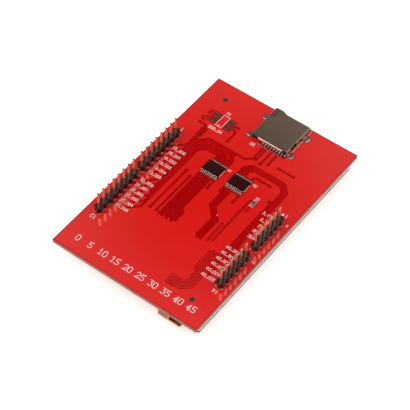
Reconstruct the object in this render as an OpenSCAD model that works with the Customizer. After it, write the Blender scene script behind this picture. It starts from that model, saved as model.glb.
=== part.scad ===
// Plug-on touch display board, resting on its screen with the back of the board upwards.
// X runs across the board, Y along it towards the card socket, Z up from the screen face.

/* [Board] */
// Width of the circuit board
board_w = 56.5; // [56:0.5:62]
// Length of the circuit board
board_l = 86.5; // [86:0.5:94]
// Thickness of the laminate
board_t = 1.6; // [0.8:0.1:2.4]
// Thickness of the copper with its solder mask
copper_t = 0.05; // [0.03:0.01:0.1]
// Bare border between the copper and the board's edge
pour_inset = 0.3; // [0.2:0.05:0.5]

/* [Display module] */
// Width of the display over its tray
display_w = 54.7; // [54.5:0.1:55.5]
// Length of the display over its tray
display_l = 82.9; // [82.6:0.1:83.4]
// Step from the board's far edge to the display
display_step = 0.7; // [0.5:0.1:1]
// Sideways offset of the display on the board
display_shift = -0.05; // [-0.5:0.05:0.5]
// Gap between the display and the board
mount_gap = 1.0; // [1:0.1:1.5]
// Width of a strip of mounting tape
tape_w = 1.5; // [1:0.1:1.6]
// Step from the display's far edge to the tape
tape_edge = 0.15; // [0:0.05:0.3]
// Clearance between the tape and the pins' solder joints
tape_clear = 0.5; // [0.3:0.05:1]
// Length left free of tape at the near end
tape_free = 4; // [2:0.5:10]
// Length of the cross strip of tape at the far end
tape_cross = 4; // [2:0.5:8]

/* [Touch panel] */
// Step from the backlight frame's edge to the touch panel
touch_inset = 0.3; // [0.1:0.1:0.6]
// Thickness of the touch film
touch_film_t = 0.18; // [0.12:0.02:0.3]
// Thickness of the adhesive border and of the tail in it
touch_adhesive_t = 0.1; // [0.06:0.02:0.16]
// Width of the adhesive border
touch_adhesive_w = 1.8; // [1.4:0.1:2.4]
// Thickness of the touch glass
touch_glass_t = 0.9; // [0.55:0.05:1.1]
// Place of the tail across the board
tail_x = 17.1; // [10:0.1:20]
// Width of the tail
tail_w = 7.6; // [6:0.1:9]
// Width of the tail above its fold
neck_w = 4.3; // [3:0.1:5]
// Length of the tail bonded in the panel
tail_bond = 1.5; // [1:0.1:1.8]
// Straight run of the tail before its loop
tail_run = 0.6; // [0.05:0.05:0.8]
// Length of the tail soldered to the board
tail_land = 3.4; // [2:0.2:6]
// Thickness of the gasket behind the touch glass
gasket_t = 0.4; // [0.3:0.05:0.6]
// Step from the active area to the gasket
gasket_step = 0.9; // [0.7:0.1:1.4]

/* [Liquid crystal cell] */
// Step from the glass's side edges to the active area
side_bezel = 1.42; // [1.3:0.02:1.9]
// Step from the glass's near edge to the active area
near_bezel = 4.96; // [4.8:0.02:6.4]
// Step from the glass's far edge to the active area
active_step = 1.6; // [1.2:0.1:1.8]
// Thickness of each cell glass
cell_glass_t = 0.5; // [0.4:0.05:0.7]
// Thickness of a polarizer
polarizer_t = 0.2; // [0.12:0.02:0.24]
// Step from the active area to the front polarizer's edge
polarizer_step = 0.5; // [0.3:0.1:0.6]
// Step from the active area to the near edge of the front glass
seal_step = 0.6; // [0.6:0.1:1]
// Clearance round the cell in its frame
cell_fit = 0.1; // [0.05:0.05:0.2]
// Length of the driver chip
driver_w = 20; // [14:1:24]
// Width of the driver chip
driver_l = 1.2; // [0.8:0.1:1.6]
// Thickness of the driver chip
driver_t = 0.4; // [0.25:0.05:0.45]
// Step from the front glass to the driver chip
driver_step = 0.6; // [0.3:0.1:0.8]

/* [Backlight] */
// Wall of the backlight frame
frame_wall = 1.1; // [0.9:0.1:1.2]
// Thickness of the lip between cell and films
lip_t = 0.35; // [0.3:0.05:0.5]
// Step from the active area to the lip
lip_step = 0.15; // [0.1:0.05:0.3]
// Thickness of the rim tape
rim_tape_t = 0.06; // [0.04:0.02:0.1]
// Thickness of each prism film
prism_t = 0.13; // [0.1:0.01:0.2]
// Thickness of the diffuser sheet
diffuser_t = 0.12; // [0.08:0.01:0.2]
// Thickness of the light guide
light_guide_t = 0.6; // [0.5:0.05:0.8]
// Thickness of the reflector sheet
reflector_t = 0.1; // [0.06:0.01:0.14]
// Step from the active area to the films' edges
film_step = 0.75; // [0.6:0.05:0.9]
// Clearance round the films
film_fit = 0.1; // [0.05:0.05:0.2]
// Length of the films past the active area at the lamps
film_run = 2.3; // [1.6:0.1:2.6]
// Length of the light guide past the active area at the lamps
guide_run = 3.1; // [2.8:0.1:3.3]
// Number of lamps
lamp_count = 6; // [4:1:8]
// Distance between lamps
lamp_pitch = 7.6; // [5:0.1:7.6]
// Width of a lamp
lamp_w = 3; // [2:0.1:3.8]
// Depth of a lamp
lamp_d = 1; // [0.6:0.1:1.1]

/* [Rear tray] */
// Thickness of the tray's sheet
tray_t = 0.2; // [0.15:0.05:0.3]
// Depth of the tray's walls
tray_wall_h = 1.65; // [1.4:0.05:1.8]
// Clearance between tray and frame
tray_fit = 0.05; // [0.02:0.01:0.1]
// Number of clip windows in each long wall
clip_count = 3; // [2:1:5]
// Distance between clip windows
clip_pitch = 26; // [16:1:28]
// Length of a clip window
clip_l = 4; // [2:0.5:6]
// Height of a clip window
clip_h = 0.7; // [0.5:0.05:0.9]
// Clearance round a clip in its window
clip_fit = 0.08; // [0.04:0.02:0.12]

/* [Display flex] */
// Width of the display flex
flex_w = 25; // [20:0.5:30]
// Thickness of the display flex
flex_t = 0.1; // [0.08:0.01:0.14]
// Length of the flex bonded to the glass
flex_bond = 1.6; // [1.2:0.1:1.8]
// Distance from the tray to the flex's fold
flex_out = 0.25; // [0.2:0.05:0.4]
// Height of the flex over the tray
flex_lift = 0.2; // [0.15:0.05:0.3]
// Place of the flex's soldered end along the board
flex_end = -14; // [-18:0.5:-8]
// Length of the flex's soldered end
flex_land = 2.5; // [1.5:0.1:4]

/* [Pin headers] */
// Distance between pins
pitch = 2.54; // [2.5:0.01:2.6]
// Distance between the two rows
row_spacing = 48.26; // [47:0.01:48.5]
// Offset of the rows' middle across the board
row_shift = 0.13; // [0:0.01:0.3]
// Place of the lowest pin along the board
first_pin = -25.5; // [-27:0.1:-24]
// Number of pins in each left header
left_count = 8; // [8:1:8]
// Number of pins in each right header
right_count = 6; // [6:1:6]
// Distance between the two left headers' nearest pins
left_break = 4.06; // [3.5:0.01:5.2]
// Distance between the two right headers' nearest pins
right_break = 5.08; // [3.5:0.01:6]
// Side of a square pin
pin_w = 0.64; // [0.5:0.02:0.68]
// Length of a pin over its housing
pin_over = 5.9; // [4:0.1:9]
// Length of a pin under the board
pin_under = 0.7; // [0.5:0.05:0.85]
// Length of a pin's tapered tip
pin_tip = 0.5; // [0.2:0.05:0.8]
// Clearance of a pin in its housing
pin_fit = 0.01; // [0.005:0.005:0.03]
// Width of a housing
housing_w = 2.5; // [2.2:0.05:2.6]
// Height of a housing
housing_h = 2.54; // [2:0.05:3]
// Depth of the notch between two places of a housing
housing_notch = 0.55; // [0.3:0.05:0.7]
// Diameter of a pin's drilled hole
pin_hole_d = 1.02; // [0.98:0.02:1.1]
// Diameter of a pin's ring of copper
pin_pad_d = 1.7; // [1.5:0.05:1.9]
// Diameter of a pin's solder joint at the board
solder_d = 1.5; // [1.3:0.05:1.6]
// Diameter of a pin's solder joint at its end
solder_end_d = 1.0; // [0.98:0.02:1.1]
// Height of a pin's solder joint
solder_h = 0.5; // [0.3:0.05:0.5]

/* [Bus chips] */
// Place of the left chip across the board
left_chip_x = -5.3; // [-5.8:0.05:-5]
// Place of the right chip across the board
right_chip_x = 4.75; // [4.5:0.05:5]
// Place of both chips along the board
chip_y = 9.95; // [9.5:0.05:10.2]
// Length of a chip's body
chip_w = 6.3; // [6.2:0.1:6.8]
// Width of a chip's body
chip_l = 4.4; // [4:0.1:4.6]
// Height of a chip's body
chip_h = 1.0; // [0.8:0.05:1.2]
// Height of a chip's body over the board
chip_rise = 0.1; // [0.05:0.01:0.15]
// Draw of a chip's sides
chip_draft = 0.08; // [0.04:0.01:0.15]
// Diameter of the mark at the first lead
dimple_d = 0.8; // [0.5:0.1:1]
// Depth of the mark at the first lead
dimple_t = 0.06; // [0.03:0.01:0.1]
// Number of leads on each side
lead_count = 10; // [10:1:10]
// Distance between leads
lead_pitch = 0.65; // [0.63:0.01:0.66]
// Width of a lead
lead_w = 0.24; // [0.18:0.01:0.3]
// Thickness of a lead
lead_t = 0.13; // [0.1:0.01:0.16]
// Distance over the leads of both sides
lead_span = 6.4; // [6.2:0.1:6.8]
// Length of a lead's foot
lead_foot = 0.55; // [0.4:0.05:0.6]
// Length of a lead's bends
lead_bend = 0.13; // [0.1:0.01:0.15]
// Width of a lead's pad
lead_pad_w = 0.36; // [0.3:0.02:0.4]
// Length of a lead's pad
lead_pad_l = 1.4; // [1.2:0.1:1.6]
// Length of a lead's pad past the lead
lead_pad_over = 0.45; // [0.2:0.05:0.6]

/* [Chip resistor] */
// Place of the resistor across the board
resistor_x = 13.2; // [12.9:0.1:13.6]
// Place of the resistor along the board
resistor_y = 6.3; // [5.8:0.1:6.6]
// Length of the resistor
resistor_l = 1.6; // [1.5:0.1:2]
// Width of the resistor
resistor_w = 0.85; // [0.7:0.05:1.25]
// Height of the resistor
resistor_h = 0.5; // [0.4:0.05:0.6]
// Length of the resistor's end caps
cap_l = 0.35; // [0.2:0.05:0.45]
// Thickness of the resistor's end caps
cap_t = 0.05; // [0.03:0.01:0.1]
// Step of the resistor's pads past its ends
resistor_pad_over = 0.5; // [0.3:0.05:0.6]

/* [Spare footprint and fiducials] */
// Place of the spare footprint across the board
spare_x = -15.4; // [-15.6:0.1:-15]
// Step from the board's far edge to the spare footprint's middle
spare_step = 14.95; // [14.25:0.05:15.25]
// Number of pads on each side
spare_count = 4; // [4:1:4]
// Distance between pads
spare_pitch = 1.27; // [1.2:0.01:1.3]
// Distance between the middles of the two rows
spare_span = 5.8; // [5.4:0.1:6]
// Length of a pad
spare_pad_l = 2.5; // [2:0.1:2.8]
// Width of a pad
spare_pad_w = 0.65; // [0.5:0.05:0.75]
// Place of the far fiducial, and with its sign changed of the near one
fiducial_x = -20.5; // [-22:0.5:-19]
// Step from the board's far edge to the far fiducial
fiducial_far_step = 6.75; // [4:0.25:9]
// Step from the board's near edge to the near fiducial
fiducial_near_step = 8.15; // [7:0.05:10]
// Diameter of a fiducial's dot
fiducial_d = 1.1; // [0.8:0.1:1.3]
// Width of the bare ring round a fiducial
fiducial_ring = 0.45; // [0.3:0.05:0.6]

/* [Card socket shell] */
// Place of the socket across the board
socket_x = 3.15; // [3:0.05:3.4]
// Step from the board's far edge to the shell's front edge
socket_step = 1.0; // [0.85:0.05:1.2]
// Width of the shell
shell_w = 14.3; // [14.2:0.1:15]
// Length of the shell
shell_l = 13.55; // [13.45:0.05:14]
// Height of the shell
shell_h = 1.85; // [1.8:0.05:2.1]
// Thickness of the shell's sheet
shell_t = 0.15; // [0.12:0.01:0.18]
// Outer radius of the shell's folds
fold_r = 0.35; // [0.25:0.05:0.4]
// Length of the tongue over the slider
tongue_l = 0.7; // [0.5:0.1:0.8]
// Width of the tongue
tongue_w = 2.6; // [2.4:0.1:3.2]
// Width of the wave from the tongue to the front edge
wave_w = 2.6; // [1:0.1:2.8]
// Cut of the shell's rear left corner
corner_cut = 0.7; // [0.4:0.1:0.8]
// Width of the folded rear lip
lip_w = 9.6; // [8:0.1:9.6]
// Place of the rear lip's left end from the shell's left side
lip_from = 2.9; // [2:0.1:3.5]
// Height of the rear lip's lower edge
lip_low = 0.95; // [0.8:0.05:1.2]
// Reach of a solder tab past the shell
tab_reach = 1.7; // [1.2:0.1:2]
// Width of a front tab
tab_front_w = 1.9; // [1.4:0.1:2.2]
// Step from the shell's front edge to a front tab's middle
tab_front_step = 3.45; // [3:0.05:4]
// Width of a rear tab
tab_rear_w = 1.4; // [1.2:0.1:1.6]
// Step from the shell's rear edge to a rear tab's middle
tab_rear_step = 0.75; // [0.7:0.05:1]
// Border of the tabs' pads
tab_pad_border = 0.15; // [0.1:0.05:0.2]
// Height of the lower edge of the windows in the shell's right side
side_window_low = 0.55; // [0.5:0.05:0.7]
// Step from the shell's rear edge to the long window
long_window_step = 2.3; // [2.2:0.1:2.6]
// Length of the long window
long_window_l = 3.2; // [2.8:0.1:3.3]
// Depth of the long window's cut into the fold
long_window_cut = 0.22; // [0.15:0.01:0.25]
// Step from the shell's rear edge to the short window
short_window_step = 7.2; // [7:0.1:7.3]
// Length of the short window
short_window_l = 1.4; // [1:0.1:1.4]
// Height of the short window
short_window_h = 0.75; // [0.5:0.05:0.8]
// Width of the spring finger over the cam pin
finger_w = 0.8; // [0.6:0.1:1]
// Length of the spring finger over the cam pin
finger_l = 3.0; // [2:0.1:3.2]
// Width of the slit round the spring finger
finger_slit = 0.25; // [0.15:0.05:0.25]

/* [Card socket inside] */
// Clearance between base and shell
base_fit = 0.05; // [0.02:0.01:0.1]
// Thickness of the base's floor
floor_t = 0.45; // [0.35:0.05:0.5]
// Depth of the base's rear wall
rear_wall = 1.4; // [1.2:0.1:1.5]
// Step from the shell's front edge to the floor's front edge
floor_step = 0.4; // [0.3:0.1:0.8]
// Diameter of a locating peg
peg_d = 0.9; // [0.7:0.05:1]
// Length of a locating peg under the base
peg_l = 0.7; // [0.5:0.05:0.75]
// Distance of a locating peg from the socket's middle
peg_x = 4.9; // [4.5:0.1:5.2]
// Step from the shell's front edge to the pegs
peg_step = 2.2; // [2:0.1:2.6]
// Clearance of a peg in its hole
peg_fit = 0.05; // [0.03:0.01:0.1]
// Number of card contacts
contact_count = 8; // [8:1:8]
// Distance between contacts
contact_pitch = 1.1; // [1.08:0.01:1.12]
// Step from the shell's right side to the card detect contact
contact_edge = 0.55; // [0.52:0.01:0.6]
// Width of a contact
contact_w = 0.36; // [0.3:0.02:0.42]
// Thickness of a contact
contact_t = 0.12; // [0.1:0.01:0.14]
// Reach of a contact's lead behind the shell
contact_reach = 0.95; // [0.9:0.05:1]
// Length of a lead's foot
contact_foot = 0.45; // [0.4:0.05:0.5]
// Length of a contact's bends
contact_bend = 0.12; // [0.08:0.01:0.15]
// Length of a contact from the rear wall to its crest
contact_arm = 4.7; // [4:0.1:5]
// Height of a contact's crest over the floor
contact_crest = 0.55; // [0.45:0.05:0.6]
// Width of a contact's pad
contact_pad_w = 0.6; // [0.5:0.05:0.65]
// Length of a contact's pad
contact_pad_l = 1.0; // [0.9:0.05:1.05]
// Clearance of a contact in its slot
slot_fit = 0.02; // [0.01:0.01:0.04]
// Travel of the slider
slider_travel = 3.6; // [3:0.1:3.6]
// Length of the slider
slider_l = 7.6; // [7.2:0.1:7.6]
// Width of the slider
slider_w = 2.35; // [2.3:0.05:2.4]
// Height of the slider
slider_h = 0.9; // [0.8:0.02:0.92]
// Running clearance of the slider
slider_fit = 0.06; // [0.04:0.01:0.08]
// Clearance between the slider's arm and the first contact
arm_gap = 0.65; // [0.5:0.05:0.9]
// Width of the slider's arm
arm_l = 1.2; // [0.8:0.1:1.4]
// Width of the spring's notch in the slider
notch_w = 0.9; // [0.86:0.01:0.95]
// Length of the spring's notch in the slider
notch_l = 4; // [3.8:0.1:4.2]
// Outer diameter of the spring
spring_d = 0.76; // [0.6:0.02:0.78]
// Diameter of the spring's wire
spring_wire = 0.12; // [0.1:0.01:0.14]
// Turns of the spring
spring_turns = 10; // [8:1:12]
// Diameter of the cam pin's wire
cam_wire = 0.18; // [0.14:0.01:0.2]
// Width of the cam groove
groove_w = 0.3; // [0.28:0.01:0.32]
// Depth of the cam groove
groove_t = 0.35; // [0.3:0.01:0.4]
// Width of the cam's island
island_w = 0.35; // [0.3:0.01:0.36]
// Depth of the latch in the cam's island
latch_t = 0.3; // [0.2:0.05:0.4]
// Length of the cam groove past the follower's travel
groove_over = 0.25; // [0.2:0.05:0.3]

/* [Copper routes] */
// Width of a track
track_w = 0.21; // [0.18:0.01:0.24]
// Clearance beside a track
track_gap = 0.32; // [0.32:0.01:0.36]
// Distance between tracks side by side
track_pitch = 0.38; // [0.36:0.01:0.42]
// Diameter of a via
via_d = 0.6; // [0.5:0.02:0.64]
// Place of the left bundle's innermost track
fan_x = -14.55; // [-14.6:0.05:-14.2]
// Slanted run from a left pin's row into the bundle
fan_run = 4.2; // [3.8:0.1:4.3]
// Place of the right bundle's outermost track
right_bundle_x = 19.5; // [19.3:0.1:19.7]
// Slanted run from the right bundle to a pin's row
right_run = 2.4; // [2:0.1:2.6]
// Distance between the touch panel's tracks
touch_pitch = 0.8; // [0.75:0.01:0.85]
// Width of the touch panel's tracks
touch_track_w = 0.4; // [0.3:0.02:0.44]

/* [Hidden] */
$fn = 32;

// Levels, from the screen face up
adhesive_z = touch_film_t;
touch_glass_z = adhesive_z + touch_adhesive_t;
gasket_z = touch_glass_z + touch_glass_t;
cell_z = gasket_z + gasket_t;
transistor_z = cell_z + cell_glass_t;
cell_back_z = transistor_z + cell_glass_t;
lip_z = cell_back_z + rim_tape_t;
film_z = lip_z + lip_t;
lower_prism_z = film_z + prism_t;
diffuser_z = lower_prism_z + prism_t;
guide_z = diffuser_z + diffuser_t;
reflector_z = guide_z + light_guide_t;
tray_z = reflector_z + reflector_t;
display_back_z = tray_z + tray_t;
board_z = display_back_z + mount_gap;
copper_z = board_z + board_t;
top_z = copper_z + copper_t;

// Limits of the display's pieces across and along the board, as [low x, low y, high x, high y]
function grown(box, d) = [box[0] - d, box[1] - d, box[2] + d, box[3] + d];
display_far = board_l / 2 - display_step;
tray_box = [
  display_shift - display_w / 2, display_far - display_l,
  display_shift + display_w / 2, display_far
];
frame_box = grown(tray_box, -tray_t - tray_fit);
touch_box = grown(frame_box, -touch_inset);
cell_pocket = grown(frame_box, -frame_wall);
cell_box = grown(cell_pocket, -cell_fit);
active_box = [
  cell_box[0] + side_bezel, cell_box[1] + near_bezel,
  cell_box[2] - side_bezel, cell_box[3] - active_step
];
front_glass_box = [cell_box[0], active_box[1] - seal_step, cell_box[2], cell_box[3]];
lip_box = grown(active_box, lip_step);
film_box = [
  active_box[0] - film_step, active_box[1] - film_run,
  active_box[2] + film_step, active_box[3] + film_step
];
guide_box = [film_box[0], active_box[1] - guide_run, film_box[2], film_box[3]];
lamp_near = guide_box[1] - film_fit - lamp_d;
film_pocket = [
  film_box[0] - film_fit, lamp_near - film_fit,
  film_box[2] + film_fit, film_box[3] + film_fit
];
strip_box = [film_box[0], lamp_near, film_box[2], film_box[1] - film_fit];
past = 1;

// Headers, as [x, y of the lowest pin, number of pins]
left_x = row_shift - row_spacing / 2;
right_x = row_shift + row_spacing / 2;
lower_left = [left_x, first_pin, left_count];
upper_left = [left_x, first_pin + (left_count - 1) * pitch + left_break, left_count];
lower_right = [right_x, first_pin, right_count];
upper_right = [right_x, first_pin + (right_count - 1) * pitch + right_break, right_count];
headers = [lower_left, upper_left, lower_right, upper_right];
function pin_at(header, i) = [header[0], header[1] + i * pitch];

// Places of leads and pads
spare_y = board_l / 2 - spare_step;
fiducial_far = board_l / 2 - fiducial_far_step;
fiducial_near = fiducial_near_step - board_l / 2;
function lead_at(chip_x, i) = chip_x + (i - (lead_count - 1) / 2) * lead_pitch;
far_pad_y = chip_y + lead_span / 2 + lead_pad_over;
near_pad_y = chip_y - lead_span / 2 - lead_pad_over;
function contact_at(i) = shell_side - contact_edge - (contact_count - i) * contact_pitch;
resistor_pad_l = cap_l + resistor_pad_over;
resistor_pad_y = resistor_l / 2 - cap_l + resistor_pad_l / 2;
function spare_row(i) = spare_y + ((spare_count - 1) / 2 - i) * spare_pitch;

// Card socket, across from its middle and along the board
shell_side = shell_w / 2;
shell_front = board_l / 2 - socket_step;
socket_rear = shell_front - shell_l;
contact_pad_y = socket_rear - contact_reach - (contact_pad_l - contact_foot) / 2;
shell_inner_h = shell_h - shell_t;
base_side = shell_side - shell_t - base_fit;
base_rear = socket_rear + 2 * base_fit;
wall_front = base_rear + rear_wall;
boss_rear = shell_front - tongue_l + slider_fit;
boss_front = shell_front + tongue_l / 2;
slider_left = -base_side + slider_fit;
slider_right = slider_left + slider_w;
slider_front = boss_rear - slider_fit;
slider_rear = slider_front - slider_l;
slider_z = floor_t + slider_fit;
notch_front = slider_rear + notch_l;
spring_x = slider_left + notch_w / 2 - slider_fit;
spring_z = slider_z + slider_h / 2;
cam_x = slider_right - groove_w / 2 - slider_fit * 3;
cam_z = (slider_z + slider_h + shell_inner_h) / 2;
cam_anchor = (boss_rear + boss_front) / 2;
cam_follower = slider_front - slider_travel - 2 * groove_over - groove_w / 2;
peg_y = shell_front - peg_step;

// Points of a path moved to its left by d, with mitred corners
function unit(v) = v / norm(v);
function left_of(v) = [-v[1], v[0]];
function leg(path, i) = unit(path[i + 1] - path[i]);
function shift_path(path, d) = [
  for (i = [0:len(path) - 1])
    let (
      before = left_of(leg(path, max(i - 1, 0))),
      after = left_of(leg(path, min(i, len(path) - 2)))
    )
    path[i] + (before + after) * d / (1 + before * after)
];
// A path with its inner corners rounded, from d before each to d after it
bend_steps = 4;
function eased(path, d) = concat(
  [path[0]],
  [
    for (i = [1:len(path) - 2], k = [0:bend_steps])
      let (
        u = k / bend_steps,
        start = path[i] - leg(path, i - 1) * d,
        end = path[i] + leg(path, i) * d
      )
      start * (1 - u) * (1 - u) + path[i] * 2 * u * (1 - u) + end * u * u
  ],
  [path[len(path) - 1]]
);
function reversed(list) = [for (i = [len(list) - 1:-1:0]) list[i]];
function arc(middle, r, from, to, steps) = [
  for (i = [0:steps])
    let (a = from + (to - from) * i / steps)
    middle + r * [cos(a), sin(a)]
];

// Routes of the tracks, each as [points, width, via at its start, via at its end]
function single(points, start, end) = [points, track_w, start, end];

// Left bundle: from the left pins up, the inner tracks to the left chip, then those towards the card socket,
// and the outer ones to the spare footprint
data_count = 6;
card_count = 3;
first_data_pin = 2;
function fan_pin(k) = k + first_data_pin < left_count
  ? pin_at(lower_left, k + first_data_pin)
  : pin_at(upper_left, k + first_data_pin - left_count);
function fan_start(k, x) = [
  fan_pin(k),
  [x - fan_run, fan_pin(k)[1]],
  [x, fan_pin(k)[1] + fan_run]
];
data_y = 15.5;
data_rise = 2.25;
data_spine = [
  [fan_x, 0], [fan_x, data_y - data_rise], [fan_x + data_rise, data_y], [fan_x + 2 * data_rise, data_y]
];
data_drop = 0.5;
data_drop_step = 0.38;
data_routes = [
  for (k = [0:data_count - 1])
    let (
      bend = shift_path(data_spine, k * track_pitch),
      lead = lead_at(left_chip_x, k + 1),
      drop = data_drop + k * data_drop_step
    )
    single(concat(
      fan_start(k, bend[0][0]), [bend[1], bend[2]],
      [[lead - drop, bend[2][1]], [lead, bend[2][1] - drop], [lead, far_pad_y - lead_pad_l / 2]]
    ), false, false)
];
card_y = 18.95;
card_rise = 2.85;
card_x = fan_x - data_count * track_pitch;
card_spine = [
  [card_x, 0], [card_x, card_y - card_rise], [card_x + card_rise, card_y], [card_x + 2 * card_rise, card_y]
];
function card_bend(j) = shift_path(card_spine, j * track_pitch);
function card_row(j) = card_y + j * track_pitch;
last_lead = lead_at(left_chip_x, lead_count - 1);
card_lead = socket_x + contact_at(1);
card_drop = 2.4;
card_climb = 1.7;
card_via_run = 0.65;
card_via_x = last_lead - 1.25;
card_ends = [
  [[last_lead - card_drop, card_row(0)], [last_lead, card_row(0) - card_drop],
    [last_lead, far_pad_y - lead_pad_l / 2]],
  [[card_via_x - card_via_run, card_row(1)], [card_via_x, card_row(1) - card_via_run]],
  [[card_lead - card_climb, card_row(2)], [card_lead, card_row(2) + card_climb], [card_lead, contact_pad_y]]
];
card_routes = [
  for (j = [0:card_count - 1])
    single(concat(
      fan_start(data_count + j, card_bend(j)[0][0]), [card_bend(j)[1], card_bend(j)[2]], card_ends[j]
    ), false, j == 1)
];
function link_x(i) = fan_x - (data_count + card_count + i) * track_pitch;
link_jog = 0.42;
link_hook = 1.7;
link_side_jog = 0.22;
link_ends = [
  [[link_x(0), 18.3], [link_x(0) + link_jog, 18.3 + link_jog], [link_x(0) + link_jog, 22.05],
    [link_x(0) + link_jog - link_hook, 22.05 + link_hook], [-21.4, 22.05 + link_hook]],
  [[link_x(1), 20.8]],
  [[link_x(2), 18.8], [link_x(2) - link_side_jog, 18.8 + link_side_jog], [link_x(2) - link_side_jog, 22.1]]
];
spare_links = [
  for (i = [0:len(link_ends) - 1])
    single(concat(fan_start(data_count + card_count + i, link_x(i)), link_ends[i]), false, true)
];

// Spare footprint: short tracks out of its pads
spare_left = spare_x - spare_span / 2;
spare_right = spare_x + spare_span / 2;
spare_routes = [
  single([[spare_left, spare_row(0)], [-21, spare_row(0)]], false, true),
  single([[spare_left, spare_row(1)], [-21.4, spare_row(1)]], false, true),
  single([[spare_left, spare_row(2)], [-20.6, spare_row(2)], [-22, spare_row(2) - 1.4]], false, true),
  single([[spare_left, spare_row(3)], [-20.3, spare_row(3)], [-21.3, spare_row(3) - 1]], false, true),
  single([[spare_right, spare_row(1)], [-9.4, spare_row(1)]], false, true),
  single([[spare_right, spare_row(2)], [-10.2, spare_row(2)], [-9, spare_row(2) - 1.2], [-9, 22.2]],
    false, true)
];

// Card socket: straight tracks out of three more contacts
socket_drops = [[2, 21.6], [4, 20.9], [6, 22.3]];
socket_routes = [
  for (drop = socket_drops)
    let (x = socket_x + contact_at(drop[0]))
    single([[x, contact_pad_y], [x, drop[1]]], false, true)
];

// Right bundle: from the right chip round to the lower right pins
bundle_count = 6;
chip_bundle = 5;
bundle_y = 18.9;
bundle_turn = 2.9;
bundle_rise = 2.2;
bundle_rise_step = 0.25;
bundle_spine = [
  [right_bundle_x - 2 * bundle_turn, bundle_y], [right_bundle_x - bundle_turn, bundle_y],
  [right_bundle_x, bundle_y - bundle_turn], [right_bundle_x, 0]
];
function bundle_bend(j) = shift_path(bundle_spine, -j * track_pitch);
bundle_routes = [
  for (j = [0:chip_bundle - 1])
    let (
      bend = bundle_bend(j),
      lead = lead_at(right_chip_x, j),
      rise = bundle_rise - j * bundle_rise_step,
      pin = pin_at(lower_right, bundle_count - 1 - j)
    )
    single([
      [lead, far_pad_y - lead_pad_l / 2], [lead, bend[0][1] - rise], [lead + rise, bend[0][1]],
      bend[1], bend[2], [bend[3][0], pin[1] + right_run], [bend[3][0] + right_run, pin[1]], pin
    ], false, false)
];
inner_bundle_x = bundle_bend(bundle_count - 1)[3][0];
inner_pin = pin_at(lower_right, 0);
inner_spur = 0.7;
inner_route = single([
  [inner_bundle_x - inner_spur, 9.3 + inner_spur], [inner_bundle_x, 9.3],
  [inner_bundle_x, inner_pin[1] + right_run], [inner_bundle_x + right_run, inner_pin[1]], inner_pin
], true, false);

// Lower rows of both chips
jog_y = -10.1;
jog_step = 0.33;
lower_count = 8;
straight_count = 4;
function stagger(i) = i % 2 == 0 ? -14.8 : -13.9;
function jog(i) = max(i - straight_count + 1, 0) * jog_step;
left_lower_routes = [
  for (i = [0:lower_count - 1])
    let (x = lead_at(left_chip_x, i), top = [x, near_pad_y + lead_pad_l / 2])
    single(i < straight_count
      ? [top, [x, stagger(i)]]
      : [top, [x, jog_y + jog(i)], [x + jog(i), jog_y], [x + jog(i), stagger(i)]], false, true)
];
slant_y = -2.2;
slant = 3.9;
right_lower_routes = [
  for (i = [1:4])
    let (x = lead_at(right_chip_x, i))
    single([
      [x, near_pad_y + lead_pad_l / 2], [x, slant_y], [x + slant, slant_y - slant], [x + slant, stagger(i)]
    ], false, true)
];
function lead_stub(chip_x, i, y) =
  let (x = lead_at(chip_x, i))
  single([[x, near_pad_y + lead_pad_l / 2], [x, y]], false, true);
function far_stub(chip_x, i, y) =
  let (x = lead_at(chip_x, i))
  single([[x, far_pad_y - lead_pad_l / 2], [x, y]], false, true);
side_lead = lead_at(right_chip_x, 8);
loose_routes = [
  lead_stub(left_chip_x, 9, 2.5),
  lead_stub(right_chip_x, 0, 4.1),
  lead_stub(right_chip_x, 9, 2.7),
  far_stub(left_chip_x, 7, 15.7),
  far_stub(left_chip_x, 8, 14.9),
  single([[side_lead, far_pad_y - lead_pad_l / 2], [side_lead, 14.4], [side_lead + 0.85, 15.25],
    [13.4, 15.25]], false, true),
  single([[11.3, 22.9], [17.1, 22.9]], true, true),
  single([[-12.1, 4.5], [-12.1, -14.6]], true, true),
  single([[-9.7, 3], [-9.7, -14.4]], true, true),
  single([[10.3, -6.4], [10.3, -14.2]], true, true),
  single([[11.75, -13], [11.75, resistor_y], [12.55, resistor_y + resistor_pad_y],
    [resistor_x, resistor_y + resistor_pad_y]], true, false),
  single([[resistor_x, resistor_y - resistor_pad_y], [resistor_x, 2.7]], false, true)
];

// Touch panel's tracks in the near right corner
touch_count = 4;
touch_spine = [
  [13.9, -17.6], [13.9, -24.6], [15.1, -25.8], [15.1, -30.4], [14.2, -31.3], [11, -31.3]
];
touch_end_x = 10.1;
touch_end_y = -34.2;
touch_top_step = 0.9;
touch_routes = [
  for (t = [0:touch_count - 1])
    let (
      line = shift_path(touch_spine, t * touch_pitch),
      end_x = touch_end_x + t * touch_pitch,
      top = line[0] + [0, touch_top_step * (t % 2)]
    )
    [concat([top, line[1], line[2], line[3], line[4]], [[end_x, line[4][1]], [end_x, touch_end_y]]),
      touch_track_w, true, true]
];

routes = concat(
  data_routes, card_routes, spare_links, spare_routes, socket_routes, bundle_routes, [inner_route],
  left_lower_routes, right_lower_routes, loose_routes, touch_routes
);

// Shapes used by several pieces
module slab(box, low, high) {
  translate([box[0], box[1], low])
    cube([box[2] - box[0], box[3] - box[1], high - low]);
}

module ring(outer, inner, low, high) {
  difference() {
    slab(outer, low, high);
    slab(inner, low - past, high + past);
  }
}

module ribbon(path, width) {
  polygon(concat(shift_path(path, width / 2), reversed(shift_path(path, -width / 2))));
}

// A strip that follows a path in Y and Z, as wide as it is long in X
module strip(path, thickness, x, width) {
  translate([x - width / 2, 0, 0])
    rotate([90, 0, 90])
      linear_extrude(width)
        ribbon(path, thickness);
}

module block(middle, size) {
  translate([middle[0] - size[0] / 2, middle[1] - size[1] / 2])
    square(size);
}

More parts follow.
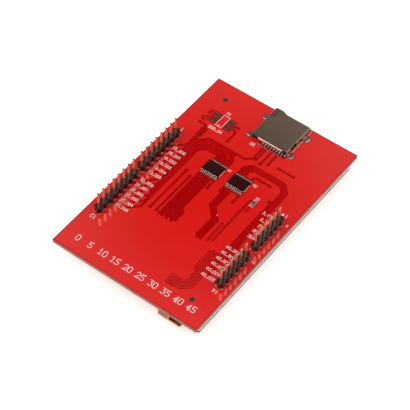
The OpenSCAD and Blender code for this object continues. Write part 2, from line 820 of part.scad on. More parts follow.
// Copper and pads
module chip_pads(chip_x, grow) {
  row_y = lead_span / 2 + lead_pad_over - lead_pad_l / 2;
  for (side = [-1, 1]) {
    if (grow > 0) {
      block([chip_x, chip_y + side * row_y],
        [(lead_count - 1) * lead_pitch + lead_pad_w + 2 * grow, lead_pad_l + 2 * grow]);
    } else {
      for (i = [0:lead_count - 1])
        block([lead_at(chip_x, i), chip_y + side * row_y], [lead_pad_w, lead_pad_l]);
    }
  }
}

module socket_pads(grow) {
  for (i = [0:contact_count])
    block([socket_x + contact_at(i), contact_pad_y + contact_pad_l / 2],
      [contact_pad_w + 2 * grow, contact_pad_l + 2 * grow]);
  border = 2 * tab_pad_border + 2 * grow;
  for (side = [-1, 1], tab = tabs)
    block([socket_x + side * (shell_side + tab_reach / 2), tab[0]], [tab_reach + border, tab[1] + border]);
}

module pads(grow) {
  chip_pads(left_chip_x, grow);
  chip_pads(right_chip_x, grow);
  socket_pads(grow);
  for (side = [-1, 1])
    block([resistor_x, resistor_y + side * resistor_pad_y],
      [resistor_w + 2 * grow, resistor_pad_l + 2 * grow]);
  for (side = [-1, 1], i = [0:spare_count - 1])
    block([spare_x + side * spare_span / 2, spare_row(i)],
      [spare_pad_l + 2 * grow, spare_pad_w + 2 * grow]);
  for (dot = [[fiducial_x, fiducial_far], [-fiducial_x, fiducial_near]])
    translate(dot)
      circle(d = fiducial_d + (grow > 0 ? 2 * fiducial_ring : 0));
}

module each_pin(header) {
  for (i = [0:header[2] - 1])
    translate(pin_at(header, i))
      children();
}

module all_pins() {
  for (header = headers)
    each_pin(header)
      children();
}

module pegs(d) {
  for (side = [-1, 1])
    translate([socket_x + side * peg_x, peg_y])
      circle(d = d);
}

module tracks(grow) {
  for (route = routes) {
    ribbon(route[0], route[1] + 2 * grow);
    if (route[2])
      translate(route[0][0])
        circle(d = via_d + 2 * grow);
    if (route[3])
      translate(route[0][len(route[0]) - 1])
        circle(d = via_d + 2 * grow);
  }
}

module circuit_board() {
  color("firebrick")
    translate([0, 0, board_z])
      linear_extrude(board_t)
        difference() {
          block([0, 0], [board_w, board_l]);
          all_pins()
            circle(d = pin_hole_d);
          pegs(peg_d + 2 * peg_fit);
        }
}

module copper_layer() {
  color("crimson")
    translate([0, 0, copper_z])
      linear_extrude(copper_t)
        difference() {
          union() {
            difference() {
              block([0, 0], [board_w - 2 * pour_inset, board_l - 2 * pour_inset]);
              tracks(track_gap);
              pads(track_gap);
              all_pins()
                circle(d = pin_pad_d + 2 * track_gap);
            }
            tracks(0);
            all_pins()
              circle(d = pin_pad_d);
          }
          pads(0);
          all_pins()
            circle(d = pin_hole_d);
          pegs(peg_d + 2 * peg_fit);
        }
}

module bare_pads() {
  color("silver")
    translate([0, 0, copper_z])
      linear_extrude(copper_t)
        pads(0);
}

// Pin headers
function housing_side(header, side) = [
  for (i = [0:header[2] - 1], edge = [[-1, 1], [-1, 0], [1, 0], [1, 1]])
    let (
      at = pin_at(header, i),
      out = housing_w / 2 - edge[1] * housing_notch,
      along = edge[0] * (pitch / 2 - (1 - edge[1]) * housing_notch)
    )
    if (edge != [1, 1] || i == header[2] - 1)
      [at[0] + side * out, at[1] + along]
];

module housing(header) {
  color("dimgray")
    translate([0, 0, top_z])
      linear_extrude(housing_h)
        difference() {
          polygon(concat(housing_side(header, 1), reversed(housing_side(header, -1))));
          each_pin(header)
            block([0, 0], [pin_w + 2 * pin_fit, pin_w + 2 * pin_fit]);
        }
}

module lower_left_housing() {
  housing(lower_left);
}

module upper_left_housing() {
  housing(upper_left);
}

module lower_right_housing() {
  housing(lower_right);
}

module upper_right_housing() {
  housing(upper_right);
}

module pin_side() {
  half = pin_w / 2;
  low = board_z - pin_under;
  high = top_z + housing_h + pin_over;
  rotate([90, 0, 0])
    linear_extrude(pin_w, center = true)
      polygon([
        [-half / 2, low], [half / 2, low], [half, low + half / 2], [half, high - pin_tip],
        [half / 2, high], [-half / 2, high], [-half, high - pin_tip], [-half, low + half / 2]
      ]);
}

module pins(header) {
  color("goldenrod")
    each_pin(header)
      intersection() {
        pin_side();
        rotate([0, 0, 90])
          pin_side();
      }
}

module lower_left_pins() {
  pins(lower_left);
}

module upper_left_pins() {
  pins(upper_left);
}

module lower_right_pins() {
  pins(lower_right);
}

module upper_right_pins() {
  pins(upper_right);
}

module header_solder() {
  color("lightgray")
    all_pins()
      translate([0, 0, board_z - solder_h])
        difference() {
          cylinder(h = solder_h, d1 = solder_end_d, d2 = solder_d);
          translate([0, 0, -past])
            linear_extrude(solder_h + 2 * past)
              block([0, 0], [pin_w + 2 * pin_fit, pin_w + 2 * pin_fit]);
        }
}

// Bus chips
module drawn_side(width, depth) {
  half = width / 2;
  rotate([90, 0, 0])
    linear_extrude(depth, center = true)
      polygon([
        [chip_draft - half, 0], [half - chip_draft, 0], [half, chip_h / 2],
        [half - chip_draft, chip_h], [chip_draft - half, chip_h], [-half, chip_h / 2]
      ]);
}

module chip_body(chip_x) {
  mark = [-chip_w / 2 + dimple_d, -chip_l / 2 + dimple_d, chip_h - dimple_t];
  color("darkslategray")
    translate([chip_x, chip_y, top_z + chip_rise])
      difference() {
        intersection() {
          drawn_side(chip_w, chip_l);
          rotate([0, 0, 90])
            drawn_side(chip_l, chip_w);
        }
        translate(mark)
          cylinder(h = dimple_t + past, d = dimple_d);
      }
}

module chip_leads(chip_x) {
  out = lead_span / 2;
  middle = chip_rise + chip_h / 2;
  knee = (out - lead_foot + chip_l / 2) / 2;
  path = [[chip_l / 2, middle], [knee, middle], [out - lead_foot, lead_t / 2], [out, lead_t / 2]];
  color("silver")
    translate([chip_x, chip_y, top_z])
      for (turn = [0, 180], i = [0:lead_count - 1])
        rotate([0, 0, turn])
          strip(eased(path, lead_bend), lead_t, lead_at(0, i), lead_w);
}

module left_chip_body() {
  chip_body(left_chip_x);
}

module right_chip_body() {
  chip_body(right_chip_x);
}

module left_chip_leads() {
  chip_leads(left_chip_x);
}

module right_chip_leads() {
  chip_leads(right_chip_x);
}

// Chip resistor
module resistor_body() {
  half_w = resistor_w / 2;
  half_l = resistor_l / 2 - cap_t;
  core = [-half_w, -half_l, half_w, half_l];
  bare = [-half_w, cap_l - resistor_l / 2, half_w, resistor_l / 2 - cap_l];
  color("darkslategray")
    translate([resistor_x, resistor_y, top_z]) {
      slab(core, cap_t, resistor_h - cap_t);
      slab(bare, resistor_h - cap_t, resistor_h);
    }
}

module resistor_caps() {
  half_w = resistor_w / 2;
  color("silver")
    translate([resistor_x, resistor_y, top_z])
      for (turn = [0, 180])
        rotate([0, 0, turn])
          difference() {
            slab([-half_w, resistor_l / 2 - cap_l, half_w, resistor_l / 2], 0, resistor_h);
            slab([-half_w - past, 0, half_w + past, resistor_l / 2 - cap_t], cap_t, resistor_h - cap_t);
          }
}

// Card socket shell
tabs = [
  [shell_front - tab_front_step, tab_front_w],
  [socket_rear + tab_rear_step, tab_rear_w]
];
wave_steps = 12;

module shell_outline() {
  wave_from = tongue_w - shell_side;
  wave = [
    for (i = [wave_steps:-1:0])
      let (u = i / wave_steps)
      [wave_from + u * wave_w, shell_front + tongue_l * (1 + cos(180 * u)) / 2]
  ];
  polygon(concat(
    [[-shell_side, socket_rear + corner_cut], [corner_cut - shell_side, socket_rear],
      [shell_side, socket_rear], [shell_side, shell_front]],
    wave,
    [[-shell_side, shell_front + tongue_l]]
  ));
}

module arch(width, height, r) {
  block([0, (height - r) / 2], [width, height - r]);
  block([0, height / 2], [width - 2 * r, height]);
  for (side = [-1, 1])
    translate([side * (width / 2 - r), height - r])
      circle(r);
}

module shell_channel() {
  translate([0, shell_front + tongue_l + past, 0])
    rotate([90, 0, 0])
      linear_extrude(shell_l + tongue_l + 2 * past)
        difference() {
          arch(shell_w, shell_h, fold_r);
          translate([0, -past])
            arch(shell_w - 2 * shell_t, shell_inner_h + past, fold_r - shell_t);
        }
}

module rear_lip() {
  translate([lip_from - shell_side, 0, 0])
    rotate([90, 0, 90])
      linear_extrude(lip_w) {
        translate([socket_rear, shell_h - fold_r])
          difference() {
            circle(fold_r);
            circle(fold_r - shell_t);
            translate([0, -fold_r])
              square(2 * fold_r);
            translate([-fold_r, -2 * fold_r])
              square(2 * fold_r);
          }
        translate([socket_rear - fold_r, lip_low])
          square([shell_t, shell_h - fold_r - lip_low]);
      }
}

module finger_slits() {
  left = slider_left + finger_slit;
  front = shell_front - finger_slit;
  translate([0, 0, shell_inner_h - past])
    linear_extrude(2 * past) {
      for (x = [left, left + finger_slit + finger_w])
        translate([x, front - finger_l])
          square([finger_slit, finger_l]);
      translate([left, front - finger_l])
        square([2 * finger_slit + finger_w, finger_slit]);
    }
}

module socket_shell() {
  long_from = socket_rear + long_window_step;
  short_from = socket_rear + short_window_step;
  color("dimgray")
    translate([socket_x, 0, top_z]) {
      difference() {
        intersection() {
          shell_channel();
          linear_extrude(shell_h)
            shell_outline();
        }
        finger_slits();
        slab([shell_side - long_window_cut, long_from, shell_side + past, long_from + long_window_l],
          side_window_low, shell_h + past);
        slab([shell_side - past, short_from, shell_side + past, short_from + short_window_l],
          side_window_low, side_window_low + short_window_h);
      }
      rear_lip();
      for (side = [-1, 1], tab = tabs)
        scale([side, 1, 1])
          slab([shell_side - shell_t, tab[0] - tab[1] / 2, shell_side + tab_reach, tab[0] + tab[1] / 2],
            0, shell_t);
    }
}

// Inside of the card socket
module base_floor() {
  front = shell_front - floor_step;
  linear_extrude(floor_t)
    polygon([
      [-base_side, base_rear + corner_cut], [corner_cut - base_side, base_rear],
      [base_side, base_rear], [base_side, front], [-base_side, front]
    ]);
}

module socket_base() {
  wall_h = shell_inner_h - base_fit;
  color("darkslategray")
    translate([socket_x, 0, top_z])
      difference() {
        union() {
          base_floor();
          slab([corner_cut - base_side, base_rear, base_side - fold_r, wall_front], 0, wall_h);
          slab([-base_side, boss_rear, slider_right, boss_front], 0, slider_z + slider_h);
          for (side = [-1, 1])
            translate([side * peg_x, peg_y, -peg_l])
              cylinder(h = peg_l + floor_t / 2, d = peg_d);
        }
        for (i = [0:contact_count]) {
          slot = contact_w / 2 + slot_fit;
          slab([contact_at(i) - slot, base_rear - past, contact_at(i) + slot, wall_front + past],
            floor_t, floor_t + contact_t + slot_fit);
          slab([contact_at(i) - slot, wall_front + contact_arm / 2, contact_at(i) + slot,
            wall_front + contact_arm], -past, floor_t + past);
        }
        translate([cam_x, cam_anchor, floor_t])
          cylinder(h = shell_h, d = cam_wire + 2 * slot_fit);
      }
}

module contact(i, arm) {
  low = contact_t / 2;
  bed = floor_t + contact_t / 2;
  foot = socket_rear - contact_reach;
  crest = wall_front + arm;
  path = [
    [foot, low], [foot + contact_foot, low], [socket_rear - slot_fit, bed], [wall_front + arm / 3, bed],
    [crest, bed + contact_crest - contact_t / 2], [crest + arm / 6, bed + contact_crest / 2]
  ];
  color("silver")
    translate([socket_x, 0, top_z])
      strip(eased(path, contact_bend), contact_t, contact_at(i), contact_w);
}

module socket_contacts() {
  for (i = [0:contact_count - 1])
    contact(i, contact_arm);
}

module detect_contact() {
  contact(contact_count, contact_arm / 2);
}

module cam_groove() {
  near = cam_follower - groove_w / 2 - groove_over;
  far = slider_front - groove_over;
  right = cam_x + groove_w / 2;
  left = right - 2 * groove_w - island_w;
  island_left = left + groove_w;
  island_right = right - groove_w;
  linear_extrude(groove_t + past)
    difference() {
      translate([left, near])
        square([right - left, far - near]);
      polygon([
        [island_left, near + groove_w * 2], [island_right, near + groove_w * 2],
        [island_right, far - groove_w * 2], [island_left + island_w / 2, far - groove_w * 2 - latch_t],
        [island_left, far - groove_w * 2]
      ]);
    }
}

module card_slider() {
  arm_low = slider_z + slider_fit;
  arm_end = contact_at(0) - contact_w / 2 - arm_gap;
  color("gray")
    translate([socket_x, 0, top_z])
      difference() {
        union() {
          slab([slider_left, slider_rear, slider_right, slider_front], slider_z, slider_z + slider_h);
          slab([slider_right, slider_rear, arm_end, slider_rear + arm_l],
            arm_low, slider_z + slider_h - slider_fit);
        }
        slab([slider_left - past, slider_rear - past, slider_left + notch_w, notch_front],
          slider_z - past, slider_z + slider_h + past);
        translate([0, 0, slider_z + slider_h - groove_t])
          cam_groove();
      }
}

spring_steps = 12;
spring_sides = 6;

module slider_spring() {
  r = (spring_d - spring_wire) / 2;
  low = wall_front + spring_wire / 2 + slot_fit;
  high = notch_front - spring_wire / 2 - slot_fit;
  count = spring_turns * spring_steps;
  rings = [
    for (i = [0:count], k = [0:spring_sides - 1])
      let (
        turn = 360 * i / spring_steps,
        a = 360 * k / spring_sides,
        out = r + spring_wire / 2 * cos(a)
      )
      [out * cos(turn), low + (high - low) * i / count + spring_wire / 2 * sin(a), out * sin(turn)]
  ];
  sides = [
    for (i = [0:count - 1], k = [0:spring_sides - 1])
      let (next = (k + 1) % spring_sides)
      [i * spring_sides + k, i * spring_sides + next,
        (i + 1) * spring_sides + next, (i + 1) * spring_sides + k]
  ];
  start = [for (k = [spring_sides - 1:-1:0]) k];
  end = [for (k = [0:spring_sides - 1]) count * spring_sides + k];
  color("silver")
    translate([socket_x + spring_x, 0, top_z + spring_z])
      polyhedron(rings, concat([start], sides, [end]));
}

module cam_pin() {
  follower_low = slider_z + slider_h - groove_t + slider_fit;
  anchor_low = floor_t + slot_fit;
  color("silver")
    translate([socket_x + cam_x, 0, top_z]) {
      translate([0, cam_anchor, cam_z])
        rotate([90, 0, 0])
          cylinder(h = cam_anchor - cam_follower, d = cam_wire);
      for (end = [[cam_follower, follower_low], [cam_anchor, anchor_low]]) {
        translate([0, end[0], end[1]])
          cylinder(h = cam_z - end[1], d = cam_wire);
        translate([0, end[0], cam_z])
          sphere(d = cam_wire);
      }
    }
}

// Touch panel
module touch_film() {
  color("lightslategray")
    slab(touch_box, 0, adhesive_z);
}

module touch_adhesive() {
  gap = [tail_x - tail_w / 2, touch_box[1] - past, tail_x + tail_w / 2, touch_box[1] + tail_bond];
  color("gainsboro")
    difference() {
      ring(touch_box, grown(touch_box, -touch_adhesive_w), adhesive_z, touch_glass_z);
      slab(gap, adhesive_z - past, touch_glass_z + past);
    }
}

module touch_glass() {
  color("lightblue")
    slab(touch_box, touch_glass_z, gasket_z);
}

fold_steps = 24;

module touch_tail() {
  low = adhesive_z + touch_adhesive_t / 2;
  high = board_z - touch_adhesive_t / 2;
  fold_y = touch_box[1] - tail_run;
  loop = arc([fold_y, (low + high) / 2], (high - low) / 2, 270, 90, fold_steps);
  path = concat([[touch_box[1] + tail_bond, low]], loop, [[fold_y + tail_land, high]]);
  tail_left = tail_x - tail_w / 2;
  color("darkgoldenrod")
    difference() {
      strip(path, touch_adhesive_t, tail_x, tail_w);
      slab([tail_left + neck_w, fold_y - high, tail_left + tail_w + past, fold_y + tail_land + past],
        (low + high) / 2, high + past);
    }
}

module touch_gasket() {
  color("black")
    ring(touch_box, grown(active_box, gasket_step), gasket_z, cell_z);
}

// Liquid crystal cell
module front_polarizer() {
  color("dimgray")
    slab(grown(active_box, polarizer_step), cell_z - polarizer_t, cell_z);
}

module colour_filter_glass() {
  color("lightblue")
    slab(front_glass_box, cell_z, transistor_z);
}

module transistor_glass() {
  color("lightblue")
    slab(cell_box, transistor_z, cell_back_z);
}

module rear_polarizer() {
  color("dimgray")
    slab(grown(active_box, lip_step - cell_fit), cell_back_z, cell_back_z + polarizer_t);
}

module driver_chip() {
  far = front_glass_box[1] - driver_step;
  color("darkslategray")
    slab([display_shift - driver_w / 2, far - driver_l, display_shift + driver_w / 2, far],
      transistor_z - driver_t, transistor_z);
}

module display_flex() {
  low = transistor_z - flex_t / 2;
  high = display_back_z + flex_lift;
  land = board_z - flex_t / 2;
  fold_y = tray_box[1] - flex_out;
  loop = arc([fold_y, (low + high) / 2], (high - low) / 2, 270, 90, fold_steps);
  climb = flex_end - flex_land - (land - high) * 2;
  path = concat([[cell_box[1] + flex_bond, low]], loop,
    [[climb, high], [flex_end - flex_land, land], [flex_end, land]]);
  color("darkgoldenrod")
    strip(path, flex_t, display_shift, flex_w);
}

// Backlight
module rim_tape() {
  color("black")
    ring(cell_box, lip_box, cell_back_z, lip_z);
}

clip_z = tray_z - tray_wall_h / 2;

// Clips in the long walls, or their windows when grown by a clearance
module clips(reach, grow) {
  for (edge = [tray_box[0], tray_box[2]], i = [0:clip_count - 1]) {
    y = (tray_box[1] + tray_box[3]) / 2 + (i - (clip_count - 1) / 2) * clip_pitch;
    slab([edge - reach, y - clip_l / 2 - grow, edge + reach, y + clip_l / 2 + grow],
      clip_z - clip_h / 2 - grow, clip_z + clip_h / 2 + grow);
  }
}

module backlight_frame() {
  exit = flex_w / 2 + 4 * cell_fit;
  color("white")
    difference() {
      union() {
        slab(frame_box, cell_z, tray_z);
        intersection() {
          clips(tray_t + 2 * tray_fit, 0);
          slab(grown(frame_box, tray_fit + tray_t / 2), cell_z, tray_z);
        }
      }
      slab(cell_pocket, cell_z - past, lip_z);
      slab(lip_box, cell_z, tray_z);
      slab(film_pocket, film_z, tray_z + past);
      slab([display_shift - exit, frame_box[1] - past, display_shift + exit, cell_pocket[1] + past],
        cell_z - past, transistor_z + flex_t);
    }
}

module upper_prism_film() {
  color("lightgray")
    slab(film_box, film_z, lower_prism_z);
}

module lower_prism_film() {
  color("gainsboro")
    slab(film_box, lower_prism_z, diffuser_z);
}

module diffuser_sheet() {
  color("white")
    slab(film_box, diffuser_z, guide_z);
}

module light_guide() {
  color("honeydew")
    slab(guide_box, guide_z, reflector_z);
}

module reflector_sheet() {
  color("whitesmoke")
    slab(film_box, reflector_z, tray_z);
}

module lamp_strip() {
  color("darkgoldenrod")
    slab(strip_box, reflector_z, tray_z);
}

module backlight_lamps() {
  color("khaki")
    for (i = [0:lamp_count - 1]) {
      x = display_shift + (i - (lamp_count - 1) / 2) * lamp_pitch;
      slab([x - lamp_w / 2, lamp_near, x + lamp_w / 2, lamp_near + lamp_d], guide_z, reflector_z);
    }
}

// Rear tray and mounting tape
module rear_tray() {
  color("silver")
    difference() {
      slab(tray_box, display_back_z - tray_wall_h, display_back_z);
      slab(grown(tray_box, -tray_t), 0, tray_z);
      clips(2 * tray_t, clip_fit);
    }
}

module mounting_tape() {
  far = tray_box[3] - tape_edge;
  left = left_x + solder_d / 2 + tape_clear;
  right = right_x - solder_d / 2 - tape_clear;
  near = tray_box[1] + tape_free;
  color("black") {
    slab([left, near, left + tape_w, far], display_back_z, board_z);
    slab([right - tape_w, near, right, far], display_back_z, board_z);
    slab([left + tape_w, far - tape_cross, right - tape_w, far], display_back_z, board_z);
  }
}

circuit_board();
copper_layer();
bare_pads();
lower_left_housing();
upper_left_housing();
lower_right_housing();
upper_right_housing();
lower_left_pins();
upper_left_pins();
lower_right_pins();
upper_right_pins();
header_solder();
left_chip_body();
left_chip_leads();
right_chip_body();
right_chip_leads();
resistor_body();
resistor_caps();
socket_shell();
socket_base();
socket_contacts();
detect_contact();
card_slider();
slider_spring();
cam_pin();
touch_film();
touch_adhesive();
touch_glass();
touch_tail();
touch_gasket();
front_polarizer();
colour_filter_glass();
transistor_glass();
rear_polarizer();
driver_chip();
display_flex();
rim_tape();
backlight_frame();
upper_prism_film();
lower_prism_film();
diffuser_sheet();
light_guide();
reflector_sheet();
lamp_strip();
backlight_lamps();
rear_tray();
mounting_tape();
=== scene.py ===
"""Looks of a plug-on touch display board that lies on its screen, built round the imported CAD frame."""

import logging
import math
from collections.abc import Iterable, Sequence
from dataclasses import dataclass
from enum import Enum
from typing import ClassVar

import bmesh
import bpy
from mathutils import Matrix, Vector

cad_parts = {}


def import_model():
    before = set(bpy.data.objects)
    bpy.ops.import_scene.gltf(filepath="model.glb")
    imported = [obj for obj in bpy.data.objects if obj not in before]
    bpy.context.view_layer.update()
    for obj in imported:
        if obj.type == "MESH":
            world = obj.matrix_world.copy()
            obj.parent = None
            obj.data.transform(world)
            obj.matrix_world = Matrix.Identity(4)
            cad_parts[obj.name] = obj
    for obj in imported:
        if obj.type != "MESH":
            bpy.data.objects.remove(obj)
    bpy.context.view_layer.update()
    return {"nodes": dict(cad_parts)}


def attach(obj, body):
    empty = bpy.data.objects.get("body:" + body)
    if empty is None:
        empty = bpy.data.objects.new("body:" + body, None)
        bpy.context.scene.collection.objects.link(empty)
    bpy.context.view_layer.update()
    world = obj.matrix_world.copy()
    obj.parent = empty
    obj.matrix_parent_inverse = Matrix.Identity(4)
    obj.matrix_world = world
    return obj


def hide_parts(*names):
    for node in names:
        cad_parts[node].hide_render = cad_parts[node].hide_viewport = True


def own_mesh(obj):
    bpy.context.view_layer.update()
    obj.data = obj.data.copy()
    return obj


Point = tuple[float, float]
Triple = tuple[float, float, float]
Box = tuple[float, float, float, float]
Label = tuple[str, Point]
Colour = Triple
Rgb = tuple[int, int, int]
Socket = bpy.types.NodeSocket
Material = bpy.types.Material

# Lengths are in millimetres. Sizes, pitches and depths of textures, and the studio, are in metres.
MM = 0.001
MODULE = "module"
BOARD_TOP = 6.92
WELD = 0.001

# Sockets of a mix node: its factor, its two numbers and its two colours, and what it gives for each.
MIX_FACTOR = 0
MIX_NUMBERS = (2, 3)
MIX_COLOURS = (6, 7)
MIX_NUMBER = 0
MIX_COLOUR = 2

# Parts of a noise's range that are stretched to the whole.
EVEN = (0.3, 0.7)
PATCHY = (0.35, 0.7)

log = logging.getLogger("display_board")


def srgb(red: int, green: int, blue: int) -> Colour:
    """Turn a screen colour into linear light.

    Args:
        red: Red from 0 to 255.
        green: Green from 0 to 255.
        blue: Blue from 0 to 255.

    Returns:
        The same colour as three linear values.
    """

    def linear(value: int) -> float:
        """Undo the screen's curve for one value."""
        share = value / 255
        return share / 12.92 if share <= 0.04045 else ((share + 0.055) / 1.055) ** 2.4

    return linear(red), linear(green), linear(blue)


def lit(colour: Colour, factor: float) -> Colour:
    """Scale a colour, with no value over one."""
    return tuple(min(1.0, value * factor) for value in colour)


def around(box: Box) -> list[Point]:
    """Give a box's corners, anticlockwise from the least one."""
    return [(box[0], box[1]), (box[2], box[1]), (box[2], box[3]), (box[0], box[3])]


def beside(x: float, half: float, near: float, far: float) -> Box:
    """Give the box round a line along Y, whichever way the line runs."""
    return x - half, min(near, far), x + half, max(near, far)


def circle(middle: Point, radius: float, sides: int) -> list[Point]:
    """Give the corners of a regular shape, anticlockwise."""
    turns = [math.tau * i / sides for i in range(sides)]
    return [(middle[0] + radius * math.cos(a), middle[1] + radius * math.sin(a)) for a in turns]


class Grain(Enum):
    """How a metal surface was made: size, layers, stretch and depth of its marks."""

    DRAWN = (0.00009, 3.0, (1.0, 1.0, 0.04), 0.000006)
    ROLLED = (0.00022, 3.0, (1.0, 0.12, 1.0), 0.000002)
    PLATED = (0.0002, 3.0, (1.0, 1.0, 1.0), 0.000005)
    REFLOWED = (0.00035, 2.0, (1.0, 1.0, 1.0), 0.00003)


class Screen(Enum):
    """What a film in the light path does: its roughness, and size, layers and depth of its relief."""

    DARK = (0.2, 0.00008, 2.0, 0.000002)
    PALE = (0.45, 0.0001, 3.0, 0.00001)
    RIDGED = (0.45, 0.00005, 0.0, 0.00002)


class Axis(Enum):
    """An axis of the object."""

    X = "X"
    Y = "Y"
    Z = "Z"


class Sum(Enum):
    """What is worked out from one value or two."""

    SIZE = "ABSOLUTE"
    TOTAL = "ADD"
    PRODUCT = "MULTIPLY"


class Curve(Enum):
    """How a value goes from the start of a range to its end."""

    STRAIGHT = "LINEAR"
    SOFT = "SMOOTHSTEP"


class Nodes:
    """A node tree in the making."""

    def __init__(self, tree: bpy.types.NodeTree) -> None:
        """Keep the tree that takes the nodes."""
        self.tree = tree

    def node(self, kind: str, **settings: object) -> bpy.types.Node:
        """Add a node.

        Args:
            kind: Type of the node.
            settings: Properties of the node.

        Returns:
            The new node.
        """
        made = self.tree.nodes.new(kind)
        for name, value in settings.items():
            setattr(made, name, value)
        return made

    def join(self, source: Socket, target: Socket) -> None:
        """Link an output to an input."""
        self.tree.links.new(source, target)

    def part(self, vector: Socket, axis: Axis) -> Socket:
        """Take a vector apart.

        Args:
            vector: The vector.
            axis: The axis that is wanted.

        Returns:
            The vector's value along the axis.
        """
        made = self.node("ShaderNodeSeparateXYZ")
        self.join(vector, made.inputs["Vector"])
        return made.outputs[axis.value]

    def span(
        self,
        source: Socket,
        low: float,
        high: float,
        start: float = 0.0,
        end: float = 1.0,
        curve: Curve = Curve.STRAIGHT,
    ) -> Socket:
        """Map a value to a range.

        Args:
            source: The value.
            low: Result at the start.
            high: Result at the end.
            start: Value that gives low.
            end: Value that gives high.
            curve: How the result goes from low to high.

        Returns:
            The mapped value.
        """
        made = self.node("ShaderNodeMapRange", interpolation_type=curve.value)
        self.join(source, made.inputs["Value"])
        for name, value in (("From Min", start), ("From Max", end), ("To Min", low), ("To Max", high)):
            made.inputs[name].default_value = value
        return made.outputs["Result"]

    def share(self, source: Socket, start: float, end: float, curve: Curve = Curve.STRAIGHT) -> Socket:
        """Map a value to zero at the start and one at the end."""
        return self.span(source, 0.0, 1.0, start, end, curve)

    def mixed(self, factor: Socket, first: Colour | Socket, second: Colour | Socket) -> Socket:
        """Mix two colours.

        Args:
            factor: Share of the second colour.
            first: Colour or output at zero.
            second: Colour or output at one.

        Returns:
            The mixed colour.
        """
        made = self.node("ShaderNodeMix", data_type="RGBA")
        self.join(factor, made.inputs[MIX_FACTOR])
        for index, value in zip(MIX_COLOURS, (first, second)):
            if isinstance(value, tuple):
                made.inputs[index].default_value = (*value, 1.0)
            else:
                self.join(value, made.inputs[index])
        return made.outputs[MIX_COLOUR]

    def maths(self, operation: Sum, *values: Socket) -> Socket:
        """Work out a value from others.

        Args:
            operation: What is worked out.
            values: The values that it takes.

        Returns:
            The result.
        """
        made = self.node("ShaderNodeMath", operation=operation.value)
        for value, target in zip(values, made.inputs):
            self.join(value, target)
        return made.outputs[0]


class Shader(Nodes):
    """A node material in the making, with a principled shader at its end."""

    WAVE_LENGTH = math.pi / 10.0

    def __init__(self, name: str, colour: Colour, roughness: float, metallic: float = 0.0) -> None:
        """Start a material.

        Args:
            name: Name of the material.
            colour: Linear base colour.
            roughness: Roughness of the whole surface.
            metallic: One for metal.
        """
        self.material = bpy.data.materials.new(name)
        self.material.use_nodes = True
        super().__init__(self.material.node_tree)
        self.surface = self.tree.nodes["Principled BSDF"]
        self.put("Base Color", (*colour, 1.0))
        self.put("Roughness", roughness)
        self.put("Metallic", metallic)
        self.material.diffuse_color = (*colour, 1.0)
        self.place = self.node("ShaderNodeTexCoord").outputs["Object"]

    def put(self, socket: str, value: object) -> None:
        """Set a constant on the principled shader."""
        self.surface.inputs[socket].default_value = value

    def drive(self, socket: str, source: Socket) -> None:
        """Link an output to the principled shader."""
        self.join(source, self.surface.inputs[socket])

    def tint(self, factor: Socket, first: Colour | Socket, second: Colour | Socket) -> None:
        """Colour the surface with a mix of two colours."""
        self.drive("Base Color", self.mixed(factor, first, second))

    def sheen(self, source: Socket, low: float, high: float) -> None:
        """Let a value from zero to one drive the roughness."""
        self.drive("Roughness", self.span(source, low, high))

    def noise(self, size: float, detail: float = 3.0, stretch: Triple = (1.0, 1.0, 1.0)) -> Socket:
        """Add a noise.

        Args:
            size: Size of its features.
            detail: Number of finer layers.
            stretch: Share of the frequency that each axis keeps.

        Returns:
            The noise's factor.
        """
        mapping = self.node("ShaderNodeMapping")
        mapping.inputs["Scale"].default_value = stretch
        self.join(self.place, mapping.inputs["Vector"])
        made = self.node("ShaderNodeTexNoise")
        made.inputs["Scale"].default_value = 1.0 / size
        made.inputs["Detail"].default_value = detail
        self.join(mapping.outputs["Vector"], made.inputs["Vector"])
        return made.outputs["Fac"]

    def bands(self, size: float, axis: Axis) -> Socket:
        """Add even bands.

        Args:
            size: Distance from band to band.
            axis: Axis that the bands are counted along.

        Returns:
            The bands' factor.
        """
        made = self.node("ShaderNodeTexWave", bands_direction=axis.value)
        made.inputs["Scale"].default_value = self.WAVE_LENGTH / size
        self.join(self.place, made.inputs["Vector"])
        return made.outputs["Fac"]

    def facing(self, axis: Axis) -> Socket:
        """Give how far a face looks along an axis of the object, either way."""
        normal = self.node("ShaderNodeNewGeometry").outputs["Normal"]
        return self.maths(Sum.SIZE, self.part(normal, axis))

    def along(self, axis: Axis) -> Socket:
        """Give a point's place along an axis of the object, in metres."""
        return self.part(self.place, axis)

    def bump(self, height: Socket, depth: float, strength: float) -> None:
        """Roughen the surface.

        Args:
            height: Height from zero to one.
            depth: Depth of the relief.
            strength: Share of the relief that shows.
        """
        made = self.node("ShaderNodeBump")
        made.inputs["Distance"].default_value = depth
        made.inputs["Strength"].default_value = strength
        self.join(height, made.inputs["Height"])
        self.drive("Normal", made.outputs["Normal"])


class MetalShader(Shader):
    """A metal in the making, with the marks of how it was made and wide soft patches."""

    PATCH_SIZE = 0.0013
    POLISHED = 0.7
    SCRATCHED = 1.35
    MARK_STRENGTH = 0.35

    def __init__(self, name: str, colour: Colour, roughness: float, grain: Grain) -> None:
        """Start a metal.

        Args:
            name: Name of the material.
            colour: Linear base colour.
            roughness: Roughness of the whole surface.
            grain: How the surface was made.
        """
        super().__init__(name, colour, roughness, 1.0)
        size, layers, stretch, depth = grain.value
        self.marks = self.noise(size, layers, stretch)
        self.patches = self.share(self.noise(self.PATCH_SIZE), *PATCHY)
        self.sheen(self.marks, roughness * self.POLISHED, roughness * self.SCRATCHED)
        self.bump(self.marks, depth, self.MARK_STRENGTH)


